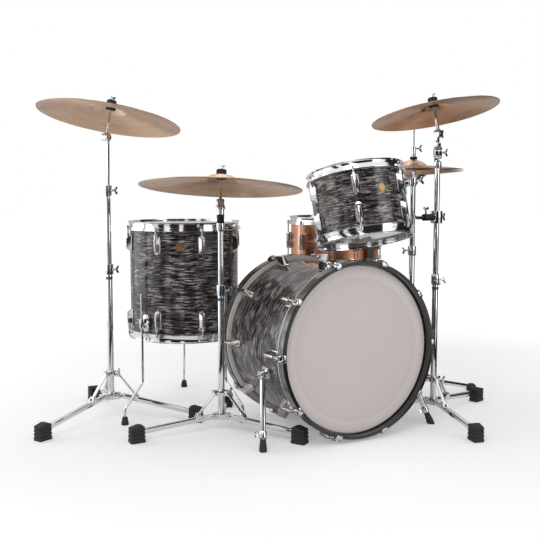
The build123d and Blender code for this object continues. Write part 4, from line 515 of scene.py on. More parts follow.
def outward(wire, matrix):
    """Direction away from a cymbal's axis, along which its turned face spreads the light."""
    axis = tuple(matrix.to_3x3().col[2])
    arm = wire.vector("SUBTRACT", wire.place(), matrix.to_translation())
    along = wire.add("VectorMath", {0: arm, 1: axis}, operation="DOT_PRODUCT").outputs["Value"]
    rise = wire.add("VectorMath", {0: axis, "Scale": along}, operation="SCALE").outputs[0]
    return wire.vector("SUBTRACT", arm, rise)


def raw_copper(name, look):
    """Raw copper shell: spun streaks round the wall under a warm uneven patina."""
    wire = finish(name)
    here = wire.place(SNARE)
    drawn = wire.vector("MULTIPLY", here, COPPER_SPIN)
    streak = wire.noise(drawn, 1.0, detail=4.0, rough=0.6)
    patina = wire.span(wire.noise(here, 16.0, detail=5.0, rough=0.65, warp=0.7), 0.36, 0.72)
    bright = [min(1.0, c * 1.18) for c in look.copper]
    tone = wire.blend(streak, colour(look.copper), colour(bright))
    tone = wire.blend(wire.times(patina, 0.7), tone, colour(look.copper_patina))
    dull = wire.span(patina, 0.0, 1.0, 0.2, 0.36)
    rough = wire.math("ADD", dull, wire.times(streak, 0.06))
    wire.set(Base_Color=tone, Metallic=1.0, Roughness=rough)
    wire.bump(streak, 0.08, 0.0004)


def moulded(name, base, low, high, grain, height, lift=1.9):
    """Rubber, nylon, felt or satin alloy, lighter where it is worn, with its own grain."""
    wire = finish(name)
    here = wire.place()
    marks = wire.effect("Handling", Vector=here, Scale=24.0, Low=low, High=high)
    tone = wire.blend(marks["Mark"], colour(base), colour([c * lift for c in base]))
    skin = wire.noise(here, grain, detail=3.0, rough=0.65)
    wire.set(Base_Color=tone, Roughness=marks["Roughness"], Specular_IOR_Level=0.35)
    wire.bump(skin, height, 0.0005)


def coiled_wire(name):
    """Bright steel snare strand, its coils as fine ridges along the strand."""
    wire = finish(name)
    here = wire.place(spot(SNARE.to_translation(), (-0.6639, 0.7478, 0), (0, 0, 1)))
    along = wire.add("SeparateXYZ", {"Vector": here}).outputs[2]
    coil = wire.math("SINE", wire.times(along, WIRE_COILS))
    # Painted shade in the grooves between the coils and painted highlight on their crests
    tone = wire.blend(wire.span(coil, -1.0, 1.0), WIRE_GROOVE_SHADE, WIRE_CREST_HIGHLIGHT)
    rough = wire.span(coil, -1.0, 1.0, 0.3, 0.2)
    wire.set(Base_Color=tone, Metallic=1.0, Roughness=rough)
    wire.bump(coil, 0.5, 0.0004)


# Modelling
def only(piece):
    """Make one object the active one and the only one selected."""
    bpy.ops.object.select_all(action="DESELECT")
    piece.select_set(True)
    bpy.context.view_layer.objects.active = piece


def active():
    """The object made or copied last."""
    return bpy.context.view_layer.objects.active


def edit_all():
    """Go into edit mode with the whole mesh selected."""
    bpy.ops.object.mode_set(mode="EDIT")
    bpy.ops.mesh.select_all(action="SELECT")


def close_edit():
    """Turn all faces one way and leave edit mode."""
    bpy.ops.mesh.select_all(action="SELECT")
    bpy.ops.mesh.normals_make_consistent(inside=False)
    bpy.ops.object.mode_set(mode="OBJECT")


def settle(piece, matrix):
    """Take a piece's place into its mesh and shade its curves smooth."""
    piece.matrix_world = matrix
    bpy.ops.object.transform_apply(location=True, rotation=True, scale=True)
    bpy.ops.object.shade_smooth_by_angle(angle=radians(TURNED_SMOOTH_ANGLE))
    return piece


def ease_edges(piece, width, angle, **settings):
    """Round over the edges of the active piece that are sharper than an angle."""
    bpy.ops.object.modifier_add(type="BEVEL")
    ease = piece.modifiers[-1]
    ease.width = width
    ease.segments = 2
    ease.limit_method = "ANGLE"
    ease.angle_limit = radians(angle)
    for name, value in settings.items():
        setattr(ease, name, value)
    bpy.ops.object.modifier_apply(modifier=ease.name)


def eased_copy(node, width):
    """Copy of a CAD piece with its corners rounded over, which then stands for that piece."""
    only(NODES[node])
    bpy.ops.object.duplicate()
    piece = active()
    piece.name = f"{node}_eased"
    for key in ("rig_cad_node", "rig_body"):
        if key in piece:
            del piece[key]
    piece.parent = None
    only(piece)
    bpy.ops.mesh.customdata_custom_splitnormals_clear()
    edit_all()
    bpy.ops.mesh.remove_doubles(threshold=MERGE)
    bpy.ops.mesh.dissolve_limited(angle_limit=radians(FLAT_ANGLE))
    bpy.ops.object.mode_set(mode="OBJECT")
    ease_edges(piece, width, EASE_ANGLE, use_clamp_overlap=False, miter_outer="MITER_ARC")
    bpy.ops.object.shade_smooth_by_angle(angle=radians(SMOOTH_ANGLE))
    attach(piece, BODY_OF[node])
    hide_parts(node)
    return piece


def smoothed(node):
    """CAD piece shown as it is, with its curved faces shaded smooth."""
    only(NODES[node])
    bpy.ops.object.shade_smooth_by_angle(angle=radians(SMOOTH_ANGLE))
    return NODES[node]


def coat(piece, slot, *finishes):
    """Give a piece its finishes; the slot argument is not used."""
    piece.data.materials.clear()
    for name in finishes:
        piece.data.materials.append(FINISH[name])
    return piece


def paint(piece, matrix, choose):
    """Choose each face's finish from its middle's radius and height in a frame and its slope."""
    back = matrix.inverted()
    axis = matrix.to_3x3().col[2]
    for face in piece.data.polygons:
        at = back @ face.center
        face.material_index = choose(sqrt(at.x**2 + at.y**2), at.z, abs(face.normal.dot(axis)))


def arc_through(start, middle, end, steps):
    """Points on the circle through three points of radius and height, the first left out."""
    (ax, ay), (bx, by), (cx, cy) = start, middle, end
    d = 2 * (ax * (by - cy) + bx * (cy - ay) + cx * (ay - by))
    aa, bb, cc = ax * ax + ay * ay, bx * bx + by * by, cx * cx + cy * cy
    ux = (aa * (by - cy) + bb * (cy - ay) + cc * (ay - by)) / d
    uy = (aa * (cx - bx) + bb * (ax - cx) + cc * (bx - ax)) / d
    radius = sqrt((ax - ux) ** 2 + (ay - uy) ** 2)
    first, last = atan2(ay - uy, ax - ux), atan2(cy - uy, cx - ux)
    turns = [first + (last - first) * step / steps for step in range(1, steps + 1)]
    return [(ux + radius * cos(turn), uy + radius * sin(turn)) for turn in turns]


def cymbal_profile(shape):
    """Upper face of a cymbal from its edge to its hole, as radius and height."""
    dia, rise, bell_r, bell_h = shape
    edge = dia / 2
    ball = (bell_r**2 + bell_h**2) / (2 * bell_h)
    shoulder = rise - bell_h
    bow = ((bell_r + edge) / 2, shoulder * BOW_SWELL)
    bell_mid = (CYMBAL_HOLE + bell_r) / 2
    bell_z = [rise - ball + sqrt(ball**2 - r**2) for r in (bell_mid, CYMBAL_HOLE)]
    foot, crown, hole = (bell_r, shoulder), (bell_mid, bell_z[0]), (CYMBAL_HOLE, bell_z[1])
    face = arc_through((edge, 0), bow, foot, BOW_RINGS)
    return face + arc_through(foot, crown, hole, BELL_RINGS)


def turned_cymbal(name, shape, matrix, steps):
    """Cymbal drawn in from its rim ring by ring, then given its thickness and a dressed edge."""
    bpy.ops.object.select_all(action="DESELECT")
    bpy.ops.mesh.primitive_circle_add(vertices=steps, radius=shape[0] / 2)
    plate = active()
    plate.name = name
    edit_all()
    radius, height = shape[0] / 2, 0.0
    for next_radius, next_height in cymbal_profile(shape):
        rise = (0, 0, next_height - height)
        bpy.ops.mesh.extrude_edges_move(TRANSFORM_OT_translate={"value": rise})
        draw_in = next_radius / radius
        bpy.ops.transform.resize(value=(draw_in, draw_in, 1), center_override=(0, 0, 0))
        radius, height = next_radius, next_height
    close_edit()
    if plate.data.polygons[0].normal.z < 0:
        bpy.ops.object.mode_set(mode="EDIT")
        bpy.ops.mesh.flip_normals()
        bpy.ops.object.mode_set(mode="OBJECT")
    bpy.ops.object.modifier_add(type="SOLIDIFY")
    wall = plate.modifiers[-1]
    wall.thickness = CYMBAL_T * PLATE_SHARE
    wall.offset = -1
    wall.use_even_offset = True
    bpy.ops.object.modifier_apply(modifier=wall.name)
    ease_edges(plate, 0.3 * MM, 50)
    return settle(plate, matrix)


def badge_plate(name, shell_r, matrix, bearing, height, width, tall):
    """Plain oval plate with a raised rim, bent to the shell."""
    bpy.ops.object.select_all(action="DESELECT")
    bpy.ops.mesh.primitive_circle_add(vertices=48, radius=0.5, fill_type="NGON")
    plate = active()
    plate.name = name
    plate.scale = (width, tall, 1)
    bpy.ops.object.transform_apply(location=False, rotation=False, scale=True)
    edit_all()
    bpy.ops.mesh.extrude_region_move(TRANSFORM_OT_translate={"value": (0, 0, BADGE_T)})
    bpy.ops.mesh.inset(thickness=BADGE_RIM_SHARE * width)
    bpy.ops.transform.translate(value=(0, 0, -BADGE_DISH))
    close_edit()
    ease_edges(plate, 0.25 * MM, 30)
    for point in plate.data.vertices:
        turn = point.co.x / shell_r
        out = shell_r + point.co.z - BADGE_SINK
        point.co = (out * sin(turn), point.co.y, out * cos(turn))
    upright = Matrix.Rotation(radians(90), 4, "X")
    around = Matrix.Rotation(radians(bearing + 90), 4, "Z") @ upright
    return settle(plate, matrix @ Matrix.Translation((0, 0, height)) @ around)


def head_finish(edge, low):
    """Choice of a head's finish: alloy outside the shell, smooth film below, sprayed film above."""

    def choose(radius, height, along):
        if radius > edge + FLESH_RING_IN:
            return 1
        return 2 if height < low else 0

    return choose


def tube_place(side):
    """Place of a cymbal stand's tube on the floor."""
    x, y, _ = JOINTS[f"{side}_tilt"]["pos_m"]
    return Vector((x, y, 0))


def cut_level(piece, height):
    """Cut the faces of a piece along a level plane, so that a finish can end there."""
    only(piece)
    edit_all()
    bpy.ops.mesh.bisect(plane_co=(0, 0, height), plane_no=(0, 0, 1))
    bpy.ops.object.mode_set(mode="OBJECT")


def turn_above(piece, matrix, low, angle):
    """Turn what lies above a height on a post about the post, such as its wing nut."""
    back = matrix.inverted()
    swing = matrix @ Matrix.Rotation(radians(angle), 4, "Z") @ back
    for point in piece.data.vertices:
        if (back @ point.co).z > low:
            point.co = swing @ point.co


def cymbal_seat(name, matrix):
    """Frame of a cymbal with its edge at Z = 0, found from the CAD piece."""
    back = matrix.inverted()
    heights = [(back @ point.co).z for point in NODES[name].data.vertices]
    if name == "hihat_bottom_cymbal":
        flip = Matrix.Rotation(radians(180), 4, "X")
        return matrix @ Matrix.Translation((0, 0, max(heights) - CYMBAL_T)) @ flip
    return matrix @ Matrix.Translation((0, 0, min(heights) + CYMBAL_T))


# Studio
def mirror_panel(name, bearing, wide, cloth, mat_from=MAT_FROM):
    turn = radians(bearing)
    for part, away, height, tilt, tall in (
        ("panel", FLAG_AWAY, FLAG_TALL / 2, 90, FLAG_TALL),
        ("mat", (FLAG_AWAY + mat_from) / 2, MAT_LIFT, 0, FLAG_AWAY - mat_from),
    ):
        place = (away * sin(turn), -away * cos(turn), height)
        bpy.ops.object.select_all(action="DESELECT")
        lean = (radians(tilt), 0, turn)
        bpy.ops.mesh.primitive_plane_add(size=1, location=place, rotation=lean)
        flag = active()
        flag.name = f"{name}_{part}"
        flag.scale = (wide, tall, 1)
        flag.data.materials.append(cloth)
        for ray in ("camera", "diffuse", "shadow", "transmission"):
            setattr(flag, f"visible_{ray}", False)
        flag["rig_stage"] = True


def flag_cloth(name, shade):
    """Matt cloth or paper of a panel."""
    wire = finish(name)
    weave = wire.noise(wire.place(), 300.0)
    tone = wire.blend(weave, colour(shade), colour([c * 1.5 for c in shade]))
    wire.set(Base_Color=tone, Roughness=0.95, Specular_IOR_Level=0.0)
    return FINISH[name]


def floor_paper(name, shade):
    wire = finish(name)
    here = wire.place()
    grain = wire.noise(here, 400.0)
    fleck = wire.times(grain, 0.05)
    tone = wire.blend(fleck, colour(shade), colour([c * 0.95 for c in shade]))
    wire.set(Base_Color=tone, Roughness=0.8, Specular_IOR_Level=0.1)
    path = wire.add("LightPath").outputs
    mirrored = wire.times(path["Is Glossy Ray"], FLOOR_IN_METAL)
    seen = wire.math("MAXIMUM", path["Is Camera Ray"], mirrored)
    seen = wire.math("MAXIMUM", seen, path["Is Transmission Ray"])
    away = wire.span(wire.effect("Round", Vector=here)["Radius"], *FLOOR_WHITENS)
    lift = wire.add("Emission", {"Strength": wire.times(seen, away)}).outputs[0]
    both = wire.add("AddShader", {0: wire.shader.outputs["BSDF"], 1: lift}).outputs[0]
    wire.plug(wire.tree.nodes["Material Output"].inputs["Surface"], both)
    return FINISH[name]


def studio_world(strength):
    """Even soft light, with a white backdrop for what the camera and the metal see."""
    world = bpy.data.worlds.new("studio")
    bpy.context.scene.world = world
    world.use_nodes = True
    wire = Wiring(world.node_tree, "Background")
    path = wire.add("LightPath").outputs
    seen = wire.math("MAXIMUM", path["Is Camera Ray"], path["Is Transmission Ray"])
    seen = wire.math("MAXIMUM", seen, path["Is Glossy Ray"])
    wire.set(Color=(1, 1, 1, 1), Strength=wire.span(seen, 0.0, 1.0, strength, 1.0))


# What a user would change
def tint(label, note, rgb):
    """Colour for a property group."""
    return bpy.props.FloatVectorProperty(
        name=label, description=note, default=rgb, subtype="COLOR", size=3, min=0, max=1
    )


def measure(label, note, value, unit="LENGTH"):
    """Length or power for a property group."""
    return bpy.props.FloatProperty(name=label, description=note, default=value, unit=unit)


class DrumKitLook(bpy.types.PropertyGroup):
    wrap_black: tint("Wrap ground", "Dark ground of the oyster wrap", (0.010, 0.008, 0.008))
    wrap_pearl: tint("Wrap pearl", "Pearl streaks of the oyster wrap", (0.48, 0.44, 0.435))
    film_white: tint("Head", "Coating of the drum heads", (0.80, 0.765, 0.745))
    film_shade: tint("Head shade", "Thinner patches of the coating", (0.735, 0.70, 0.68))
    film_front: tint("Front head", "Film of the front head", (0.70, 0.62, 0.605))
    film_ring: tint("Head ring", "Outer ring of the front head", (0.755, 0.685, 0.65))
    # The lower heads' film colour, warmed to a tan that is painted light: light through the film
    # and the copper's reflection
    lower_film_and_reflection: tint("Lower head", "Film of the lower heads", (0.66, 0.565, 0.50))
    flesh_ring: tint("Flesh ring", "Satin alloy ring of the heads", (0.76, 0.72, 0.68))
    hoop_black: tint("Bass hoop", "Lacquer of the bass drum hoops", (0.012, 0.012, 0.012))
    chrome: tint("Chrome", "Plating of hoops, lugs and stands", (0.70, 0.675, 0.675))
    bronze: tint("Bronze", "Turned bronze of the cymbals", (0.70, 0.49, 0.335))
    bronze_dark: tint("Bronze rings", "Darker turning rings of the cymbals", (0.55, 0.38, 0.26))
    bronze_bell: tint("Bronze bell", "Cleaner bronze of the bells", (0.86, 0.64, 0.47))
    bronze_tarnish: tint("Bronze tarnish", "Duller patches of the cymbals", (0.53, 0.365, 0.25))
    copper: tint("Copper", "Raw copper of the snare shell", (0.78, 0.38, 0.235))
    copper_patina: tint("Copper patina", "Duller patches of the copper", (0.62, 0.30, 0.19))
    rubber: tint("Rubber", "Feet, tips and pads", (0.016, 0.016, 0.017))
    badge: tint("Badge", "Plain plates on the toms", (0.46, 0.29, 0.125))
    band: tint("Tube band", "Bands round the base tubes", (0.025, 0.085, 0.16))


class DrumKitDetail(bpy.types.PropertyGroup):
    """Sizes of the details that the scene adds."""

    casting_ease: measure("Casting corners", "Rounding of cast pieces", 0.0009)
    rubber_ease: measure("Rubber corners", "Rounding of the rubber feet", 0.0014)
    lathe_pitch: measure("Lathe pitch", "Distance between turning rings", 0.0011)
    cymbal_steps: bpy.props.IntProperty(
        name="Cymbal steps", description="Corners round the rim of a cymbal", default=144
    )
    badge_width: measure("Badge width", "Width of a plain badge", 0.025)
    badge_height: measure("Badge height", "Height of a plain badge", 0.03)


class DrumKitStudio(bpy.types.PropertyGroup):
    """Light and ground of the picture."""

    window: measure("Window light", "Power of the left light", 23, "POWER")
    key: measure("Key light", "Power of the front light", 50, "POWER")
    fill: measure("Fill light", "Power of the right light", 18, "POWER")
    top: measure("Top light", "Power of the overhead light", 30, "POWER")
    around: measure("Room light", "Even light from all sides", 0.5, "NONE")
    flag: tint("Flags", "Cloth of the dark panels", (0.02, 0.018, 0.018))
    card: tint("Card", "Grey card behind the kit", (0.52, 0.485, 0.48))
    floor: tint("Floor", "Colour of the floor", (0.88, 0.88, 0.88))


# The operators, one for each group of like pieces
class DRUMKIT_OT_finishes(bpy.types.Operator):
    """Make the shared effects and the finishes of the whole kit"""

    bl_idname = "drumkit.finishes"
    bl_label = "Finishes"

    def execute(self, context):
        look = context.scene.drumkit_look
        detail = context.scene.drumkit_detail
        make_effects()
        for name, matrix in (("bass", BASS), ("floor_tom", FLOOR_TOM), ("rack_tom", RACK_TOM)):
            oyster_wrap(f"{name}_wrap", matrix, look)
            maple_ply(f"{name}_ply", matrix)
            coated_film(f"{name}_film", matrix, look)
        coated_film("bass_front_film", BASS, look, ring=FRONT_RING_SHARE * BASS_R)
        coated_film("snare_film", SNARE, look)
        plain_film("plain_film", look)
        hoop_lacquer("bass_hoop_lacquer", look)
        chrome, rubber = look.chrome, look.rubber
        steel, cast_grey = [c * 0.86 for c in chrome], [c * 0.5 for c in chrome]
        nylon, felt = [c * 0.8 for c in rubber], [c * 1.3 for c in rubber]
        metal("chrome", chrome, shade=0.9, low=0.05, high=0.15)
        metal("cast_chrome", chrome, shade=0.86, low=0.09, high=0.2, scale=26.0, grain=0.06)
        metal("steel", steel, shade=0.85, low=0.16, high=0.3, scale=30.0)
        alloy = {"low": 0.3, "high": 0.45, "grain": 500.0, "height": 0.04, "lift": 1.08}
        moulded("flesh_ring_alloy", look.flesh_ring, **alloy)
        metal("badge_gold", look.badge, shade=0.85, low=0.38, high=0.5, scale=40.0)
        metal("cast_grey", cast_grey, shade=0.8, low=0.3, high=0.46, scale=30.0, grain=0.2)
        raw_copper("raw_copper", look)
        moulded("rubber", rubber, low=0.5, high=0.72, grain=700.0, height=0.25)
        moulded("nylon", nylon, low=0.3, high=0.45, grain=300.0, height=0.08)
        moulded("felt", felt, low=0.86, high=0.96, grain=1600.0, height=0.7)
        moulded("tube_band", look.band, low=0.3, high=0.42, grain=200.0, height=0.05)
        coiled_wire("snare_wire")
        for name, shape, matrix in CYMBALS:
            lathed_bronze(f"{name}_bronze", matrix, shape, look, detail.lathe_pitch)
        return {"FINISHED"}


class DRUMKIT_OT_shells(bpy.types.Operator):
    """Dress the wooden shells in their wrap and the snare shell in copper"""

    bl_idname = "drumkit.shells"
    bl_label = "Shells"

    def execute(self, context):
        for name, radius, matrix in (
            ("bass", BASS_R, BASS),
            ("floor_tom", FLOOR_TOM_R, FLOOR_TOM),
            ("rack_tom", RACK_TOM_R, RACK_TOM),
        ):
            shell = smoothed(f"{name}_shell")
            coat(shell, "shell_wrap", f"{name}_wrap", f"{name}_ply")
            paint(shell, matrix, lambda r, z, along, edge=radius - MM: int(r < edge or along > 0.5))
        coat(smoothed("snare_shell"), "copper", "raw_copper")
        return {"FINISHED"}


class DRUMKIT_OT_heads(bpy.types.Operator):
    """Dress the heads: sprayed film above, smooth film below and satin flesh rings"""

    bl_idname = "drumkit.heads"
    bl_label = "Heads"

    def execute(self, context):
        for node, film, radius, matrix, low in (
            ("bass_front_head", "bass_front_film", BASS_R, BASS, NO_LOWER_HEAD),
            ("bass_batter_head", "bass_film", BASS_R, BASS, NO_LOWER_HEAD),
            ("floor_tom_heads", "floor_tom_film", FLOOR_TOM_R, FLOOR_TOM, LOWER_HEAD_TOP),
            ("rack_tom_heads", "rack_tom_film", RACK_TOM_R, RACK_TOM, LOWER_HEAD_TOP),
            ("snare_heads", "snare_film", SNARE_R, SNARE, LOWER_HEAD_TOP),
        ):
            head = coat(smoothed(node), "head_film", film, "flesh_ring_alloy", "plain_film")
            paint(head, matrix, head_finish(radius, low))
        return {"FINISHED"}


class DRUMKIT_OT_hoops(bpy.types.Operator):
    """Dress the wooden bass hoops and plate the flanged hoops"""

    bl_idname = "drumkit.hoops"
    bl_label = "Hoops"

    def execute(self, context):
        detail = context.scene.drumkit_detail
        coat(smoothed("bass_hoops"), "black_hoop", "bass_hoop_lacquer")
        for drum in ("floor_tom", "rack_tom", "snare"):
            coat(eased_copy(f"{drum}_hoops", detail.casting_ease / 2), "chrome", "chrome")
        return {"FINISHED"}


class DRUMKIT_OT_lugs(bpy.types.Operator):
    """Ease and plate the lugs, claws and tension rods"""

    bl_idname = "drumkit.lugs"
    bl_label = "Lugs and rods"

    def execute(self, context):
        ease = context.scene.drumkit_detail.casting_ease
        for drum in ("bass", "floor_tom", "rack_tom", "snare"):
            coat(eased_copy(f"{drum}_lugs", ease), "chrome", "cast_chrome")
            coat(smoothed(f"{drum}_tension_rods"), "steel", "chrome")
        coat(eased_copy("bass_claws", ease), "chrome", "cast_chrome")
        return {"FINISHED"}


class DRUMKIT_OT_drum_legs(bpy.types.Operator):
    """Ease and plate the spurs and the floor tom's legs, with rubber at their ends"""

    bl_idname = "drumkit.drum_legs"
    bl_label = "Spurs and legs"

    def execute(self, context):
        ease = context.scene.drumkit_detail.casting_ease
        floor = Matrix.Identity(4)
        for node in ("bass_spur_brackets", "floor_tom_leg_brackets"):
            coat(eased_copy(node, ease), "chrome", "cast_chrome")
        for node in ("spur_left", "spur_right"):
            spur = coat(eased_copy(node, ease / 2), "chrome", "chrome", "rubber")
            paint(spur, floor, lambda r, z, along: int(z < SPUR_TIP_TOP))
        for node in ("floor_tom_leg_left", "floor_tom_leg_right", "floor_tom_leg_rear"):
            leg = coat(smoothed(node), "chrome", "chrome", "rubber")
            paint(leg, floor, lambda r, z, along: int(z < LEG_SHOE_TOP))
        return {"FINISHED"}


class DRUMKIT_OT_stands(bpy.types.Operator):
    """Plate the stands, band their tubes and put them on ribbed rubber feet"""

    bl_idname = "drumkit.stands"
    bl_label = "Stands"

    def execute(self, context):
        detail = context.scene.drumkit_detail
        ease = detail.casting_ease * TUBE_EASE_SHARE
        for side, band_z in BANDS.items():
            base = eased_copy(f"{side}_stand_base", ease)
            coat(base, "chrome", "chrome", "tube_band")
            paint(
                base,
                Matrix.Translation(tube_place(side)),
                lambda r, z, along, at=band_z: int(
                    abs(z - at) < BAND_HALF and BAND_IN < r < BAND_OUT
                ),
            )
        for node in (
            "snare_stand_base",
            "hihat_stand_base",
            "left_stand_middle_tube",
            "left_stand_top_rod",
            "right_stand_upper_tube",
            "right_stand_boom",
            "snare_stand_tube",
            "tom_arm",
            "rack_tom_plate",
        ):
            coat(eased_copy(node, ease), "chrome", "chrome")
        clamp = coat(eased_copy("tom_clamp", ease), "chrome", "chrome", "nylon")
        reach = Vector(JOINTS["tom_arm_reach"]["axis"])
        block = Matrix.Translation(tube_place("right") + reach * CLAMP_REACH)
        paint(clamp, block, lambda r, z, along: int(r < CLAMP_BLOCK_R and z < CLAMP_BLOCK_TOP))
        coat(eased_copy("stand_feet", detail.rubber_ease), "rubber", "rubber")
        return {"FINISHED"}


class DRUMKIT_OT_tilters(bpy.types.Operator):
    """Plate the tilters and set black cups, felts and the lock on them"""

    bl_idname = "drumkit.tilters"
    bl_label = "Tilters"

    def execute(self, context):
        ease = context.scene.drumkit_detail.casting_ease * TUBE_EASE_SHARE
        for side, seat in SEATS.items():
            tilter = eased_copy(f"{side}_cymbal_tilter", ease)
            coat(tilter, "chrome", "chrome", "felt")
            post = JOINTS[f"{side}_cymbal_spin"]["axis"]
            matrix = spot(JOINTS[f"{side}_tilt"]["pos_m"], post)
            if side == "centre":
                turn_above(tilter, matrix, seat + WING_NUT_FROM, WING_NUT_TURN)
            paint(
                tilter,
                matrix,
                lambda r, z, along, at=seat: int(
                    at - FELT_BELOW < z < at + FELT_ABOVE and r > FELT_IN
                ),
            )
        upper = eased_copy("centre_stand_upper_tube", ease)
        coat(upper, "chrome", "chrome", "nylon")
        pivot = Matrix.Translation(JOINTS["centre_tilt"]["pos_m"])
        cut_level(upper, pivot.to_translation().z - LOCK_TOP)
        paint(upper, pivot, lambda r, z, along: int(-LOCK_FOOT < z < -LOCK_TOP and r > LOCK_IN))
        return {"FINISHED"}


class DRUMKIT_OT_cymbals(bpy.types.Operator):
    """Turn the five cymbals"""

    bl_idname = "drumkit.cymbals"
    bl_label = "Cymbals"

    def execute(self, context):
        steps = context.scene.drumkit_detail.cymbal_steps
        for name, shape, matrix in CYMBALS:
            seat = cymbal_seat(name, matrix)
            plate = turned_cymbal(f"{name}_turned", shape, seat, steps)
            coat(plate, "bronze", f"{name}_bronze")
            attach(plate, BODY_OF[name])
            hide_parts(name)
        return {"FINISHED"}


class DRUMKIT_OT_snare_and_hihat(bpy.types.Operator):
    """Finish the snare's strainer, wires and basket, and the hi-hat's rod, clutch and pedal"""

    bl_idname = "drumkit.snare_and_hihat"
    bl_label = "Snare and hi-hat fittings"

    def execute(self, context):
        ease = context.scene.drumkit_detail.casting_ease * TUBE_EASE_SHARE
        for node in ("snare_strainer", "snare_throw_off"):
            coat(eased_copy(node, ease), "chrome", "cast_chrome")
        coat(smoothed("snare_wires"), "steel", "snare_wire")
        basket = coat(eased_copy("snare_basket", ease), "chrome", "chrome", "rubber")
        paint(basket, SNARE, lambda r, z, along: int(r > PAD_IN and z > PAD_FOOT))
        tube = coat(eased_copy("hihat_upper_tube", ease), "chrome", "chrome", "felt")
        paint(tube, HIHAT, lambda r, z, along: int(z > HIHAT_FELT_FOOT and r > HIHAT_FELT_IN))
        rod = coat(eased_copy("hihat_pull_rod", ease / 2), "chrome", "chrome", "felt")
        paint(
            rod,
            HIHAT,
            lambda r, z, along: int(CLUTCH_FOOT < z < CLUTCH_TOP and CLUTCH_IN < r < CLUTCH_OUT),
        )
        coat(eased_copy("hihat_footboard", ease), "cast_metal", "cast_grey")
        return {"FINISHED"}


class DRUMKIT_OT_badges(bpy.types.Operator):
    """Set a plain plate on each tom"""

    bl_idname = "drumkit.badges"
    bl_label = "Plain badges"

    def execute(self, context):
        detail = context.scene.drumkit_detail
        for tom, radius, matrix, bearing, height in (
            ("floor_tom", FLOOR_TOM_R, FLOOR_TOM, -89.3, 0.334),
            ("rack_tom", RACK_TOM_R, RACK_TOM, -68, 0.142),
        ):
            size = (detail.badge_width, detail.badge_height)
            plate = badge_plate(f"{tom}_badge", radius, matrix, bearing, height, *size)
            coat(plate, "cast_metal", "badge_gold")
            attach(plate, BODY_OF[f"{tom}_shell"])
        return {"FINISHED"}


class DRUMKIT_OT_stage(bpy.types.Operator):
    """Set the floor, the soft lights, the panels for the reflections and the camera"""

    bl_idname = "drumkit.stage"
    bl_label = "Studio"

    def execute(self, context):
        studio = context.scene.drumkit_studio
        bpy.ops.object.select_all(action="DESELECT")
        bpy.ops.mesh.primitive_plane_add(size=FLOOR_SIZE)
        floor = active()
        floor.name = "studio_floor"
        floor.data.materials.append(floor_paper("studio_paper", studio.floor))
        floor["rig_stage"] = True
        for name, place, aim, size, power in (
            ("window_light", (-3.0, 0.1, 1.15), (0, 0.1, 1.15), (3.0, 2.1), studio.window),
            ("key_light", (-1.2, -3.8, 3.6), (0, 0, 0.5), (2.4, 2.0), studio.key),
            ("fill_light", (3.2, -2.6, 1.7), (0, 0, 0.6), (1.5, 2.4), studio.fill),
            ("top_light", (0.2, 0.4, 4.2), (0, 0, 0.4), (3.0, 3.0), studio.top),
        ):
            bpy.ops.object.light_add(type="AREA", location=place)
            lamp = active()
            lamp.name = name
            lamp.data.shape = "RECTANGLE"
            lamp.data.size, lamp.data.size_y = size
            lamp.data.energy = power
            beam = Vector(aim) - Vector(place)
            lamp.rotation_euler = beam.to_track_quat("-Z", "Y").to_euler()
            lamp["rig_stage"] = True
        cloth = flag_cloth("flag_cloth", studio.flag)
        for name, bearing, wide in (
            ("flag_left", -47, 0.5),
            ("flag_centre", -21, 0.8),
            ("flag_front", 19, 2.0),
            ("flag_right", 99, 2.4),
        ):
            mirror_panel(name, bearing, wide, cloth)
        paper = flag_cloth("card_paper", studio.card)
        mirror_panel("card_back", bearing=180, wide=6.8, cloth=paper, mat_from=1.9)
        studio_world(studio.around)
        level = (radians(90 - CAMERA_DIP), 0, 0)
        bpy.ops.object.camera_add(location=CAMERA_PLACE, rotation=level)
        camera = active()
        camera.data.sensor_width = CAMERA_SENSOR
        camera.data.lens = CAMERA_LENS
        context.scene.camera = camera
        context.scene.view_settings.view_transform = "Standard"
        return {"FINISHED"}


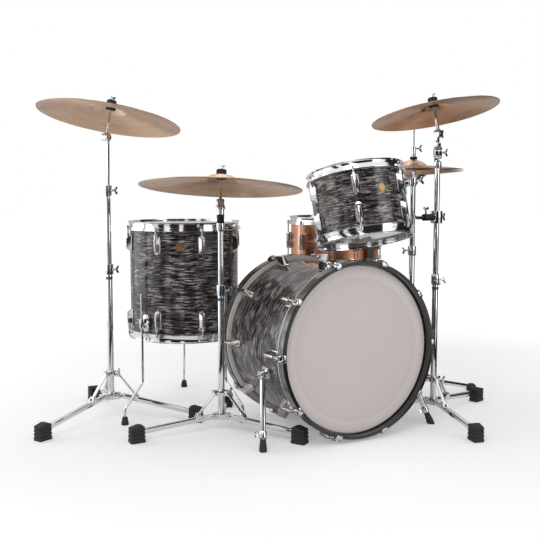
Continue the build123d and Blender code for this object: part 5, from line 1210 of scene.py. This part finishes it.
class DRUMKIT_PT_panel(bpy.types.Panel):
    bl_idname = "DRUMKIT_PT_panel"
    bl_label = "Drum Kit"
    bl_space_type = "VIEW_3D"
    bl_region_type = "UI"
    bl_category = "Drum Kit"

    def draw(self, context):
        for group in GROUPS:
            settings = getattr(context.scene, group)
            box = self.layout.box()
            for name in settings.bl_rna.properties.keys():
                if name not in {"rna_type", "name"}:
                    box.prop(settings, name)
        for step in STEPS:
            self.layout.operator(step.bl_idname)


STEPS = (
    DRUMKIT_OT_finishes,
    DRUMKIT_OT_shells,
    DRUMKIT_OT_heads,
    DRUMKIT_OT_hoops,
    DRUMKIT_OT_lugs,
    DRUMKIT_OT_drum_legs,
    DRUMKIT_OT_stands,
    DRUMKIT_OT_tilters,
    DRUMKIT_OT_cymbals,
    DRUMKIT_OT_snare_and_hihat,
    DRUMKIT_OT_badges,
    DRUMKIT_OT_stage,
)
GROUPS = {
    "drumkit_look": DrumKitLook,
    "drumkit_detail": DrumKitDetail,
    "drumkit_studio": DrumKitStudio,
}
CLASSES = (*GROUPS.values(), *STEPS, DRUMKIT_PT_panel)


def register():
    for cls in CLASSES:
        bpy.utils.register_class(cls)
    for name, group in GROUPS.items():
        setattr(bpy.types.Scene, name, bpy.props.PointerProperty(type=group))


def unregister():
    for name in GROUPS:
        delattr(bpy.types.Scene, name)
    for cls in reversed(CLASSES):
        bpy.utils.unregister_class(cls)


def main():
    register()
    bpy.ops.drumkit.finishes()
    bpy.ops.drumkit.shells()
    bpy.ops.drumkit.heads()
    bpy.ops.drumkit.hoops()
    bpy.ops.drumkit.lugs()
    bpy.ops.drumkit.drum_legs()
    bpy.ops.drumkit.stands()
    bpy.ops.drumkit.tilters()
    bpy.ops.drumkit.cymbals()
    bpy.ops.drumkit.snare_and_hihat()
    bpy.ops.drumkit.badges()
    bpy.ops.drumkit.stage()
    boxes = {"cad": CAD_BOX, "visual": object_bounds()}
    {name: [list(low), list(high)] for name, (low, high) in boxes.items()}


if __name__ == "__main__":
    main()
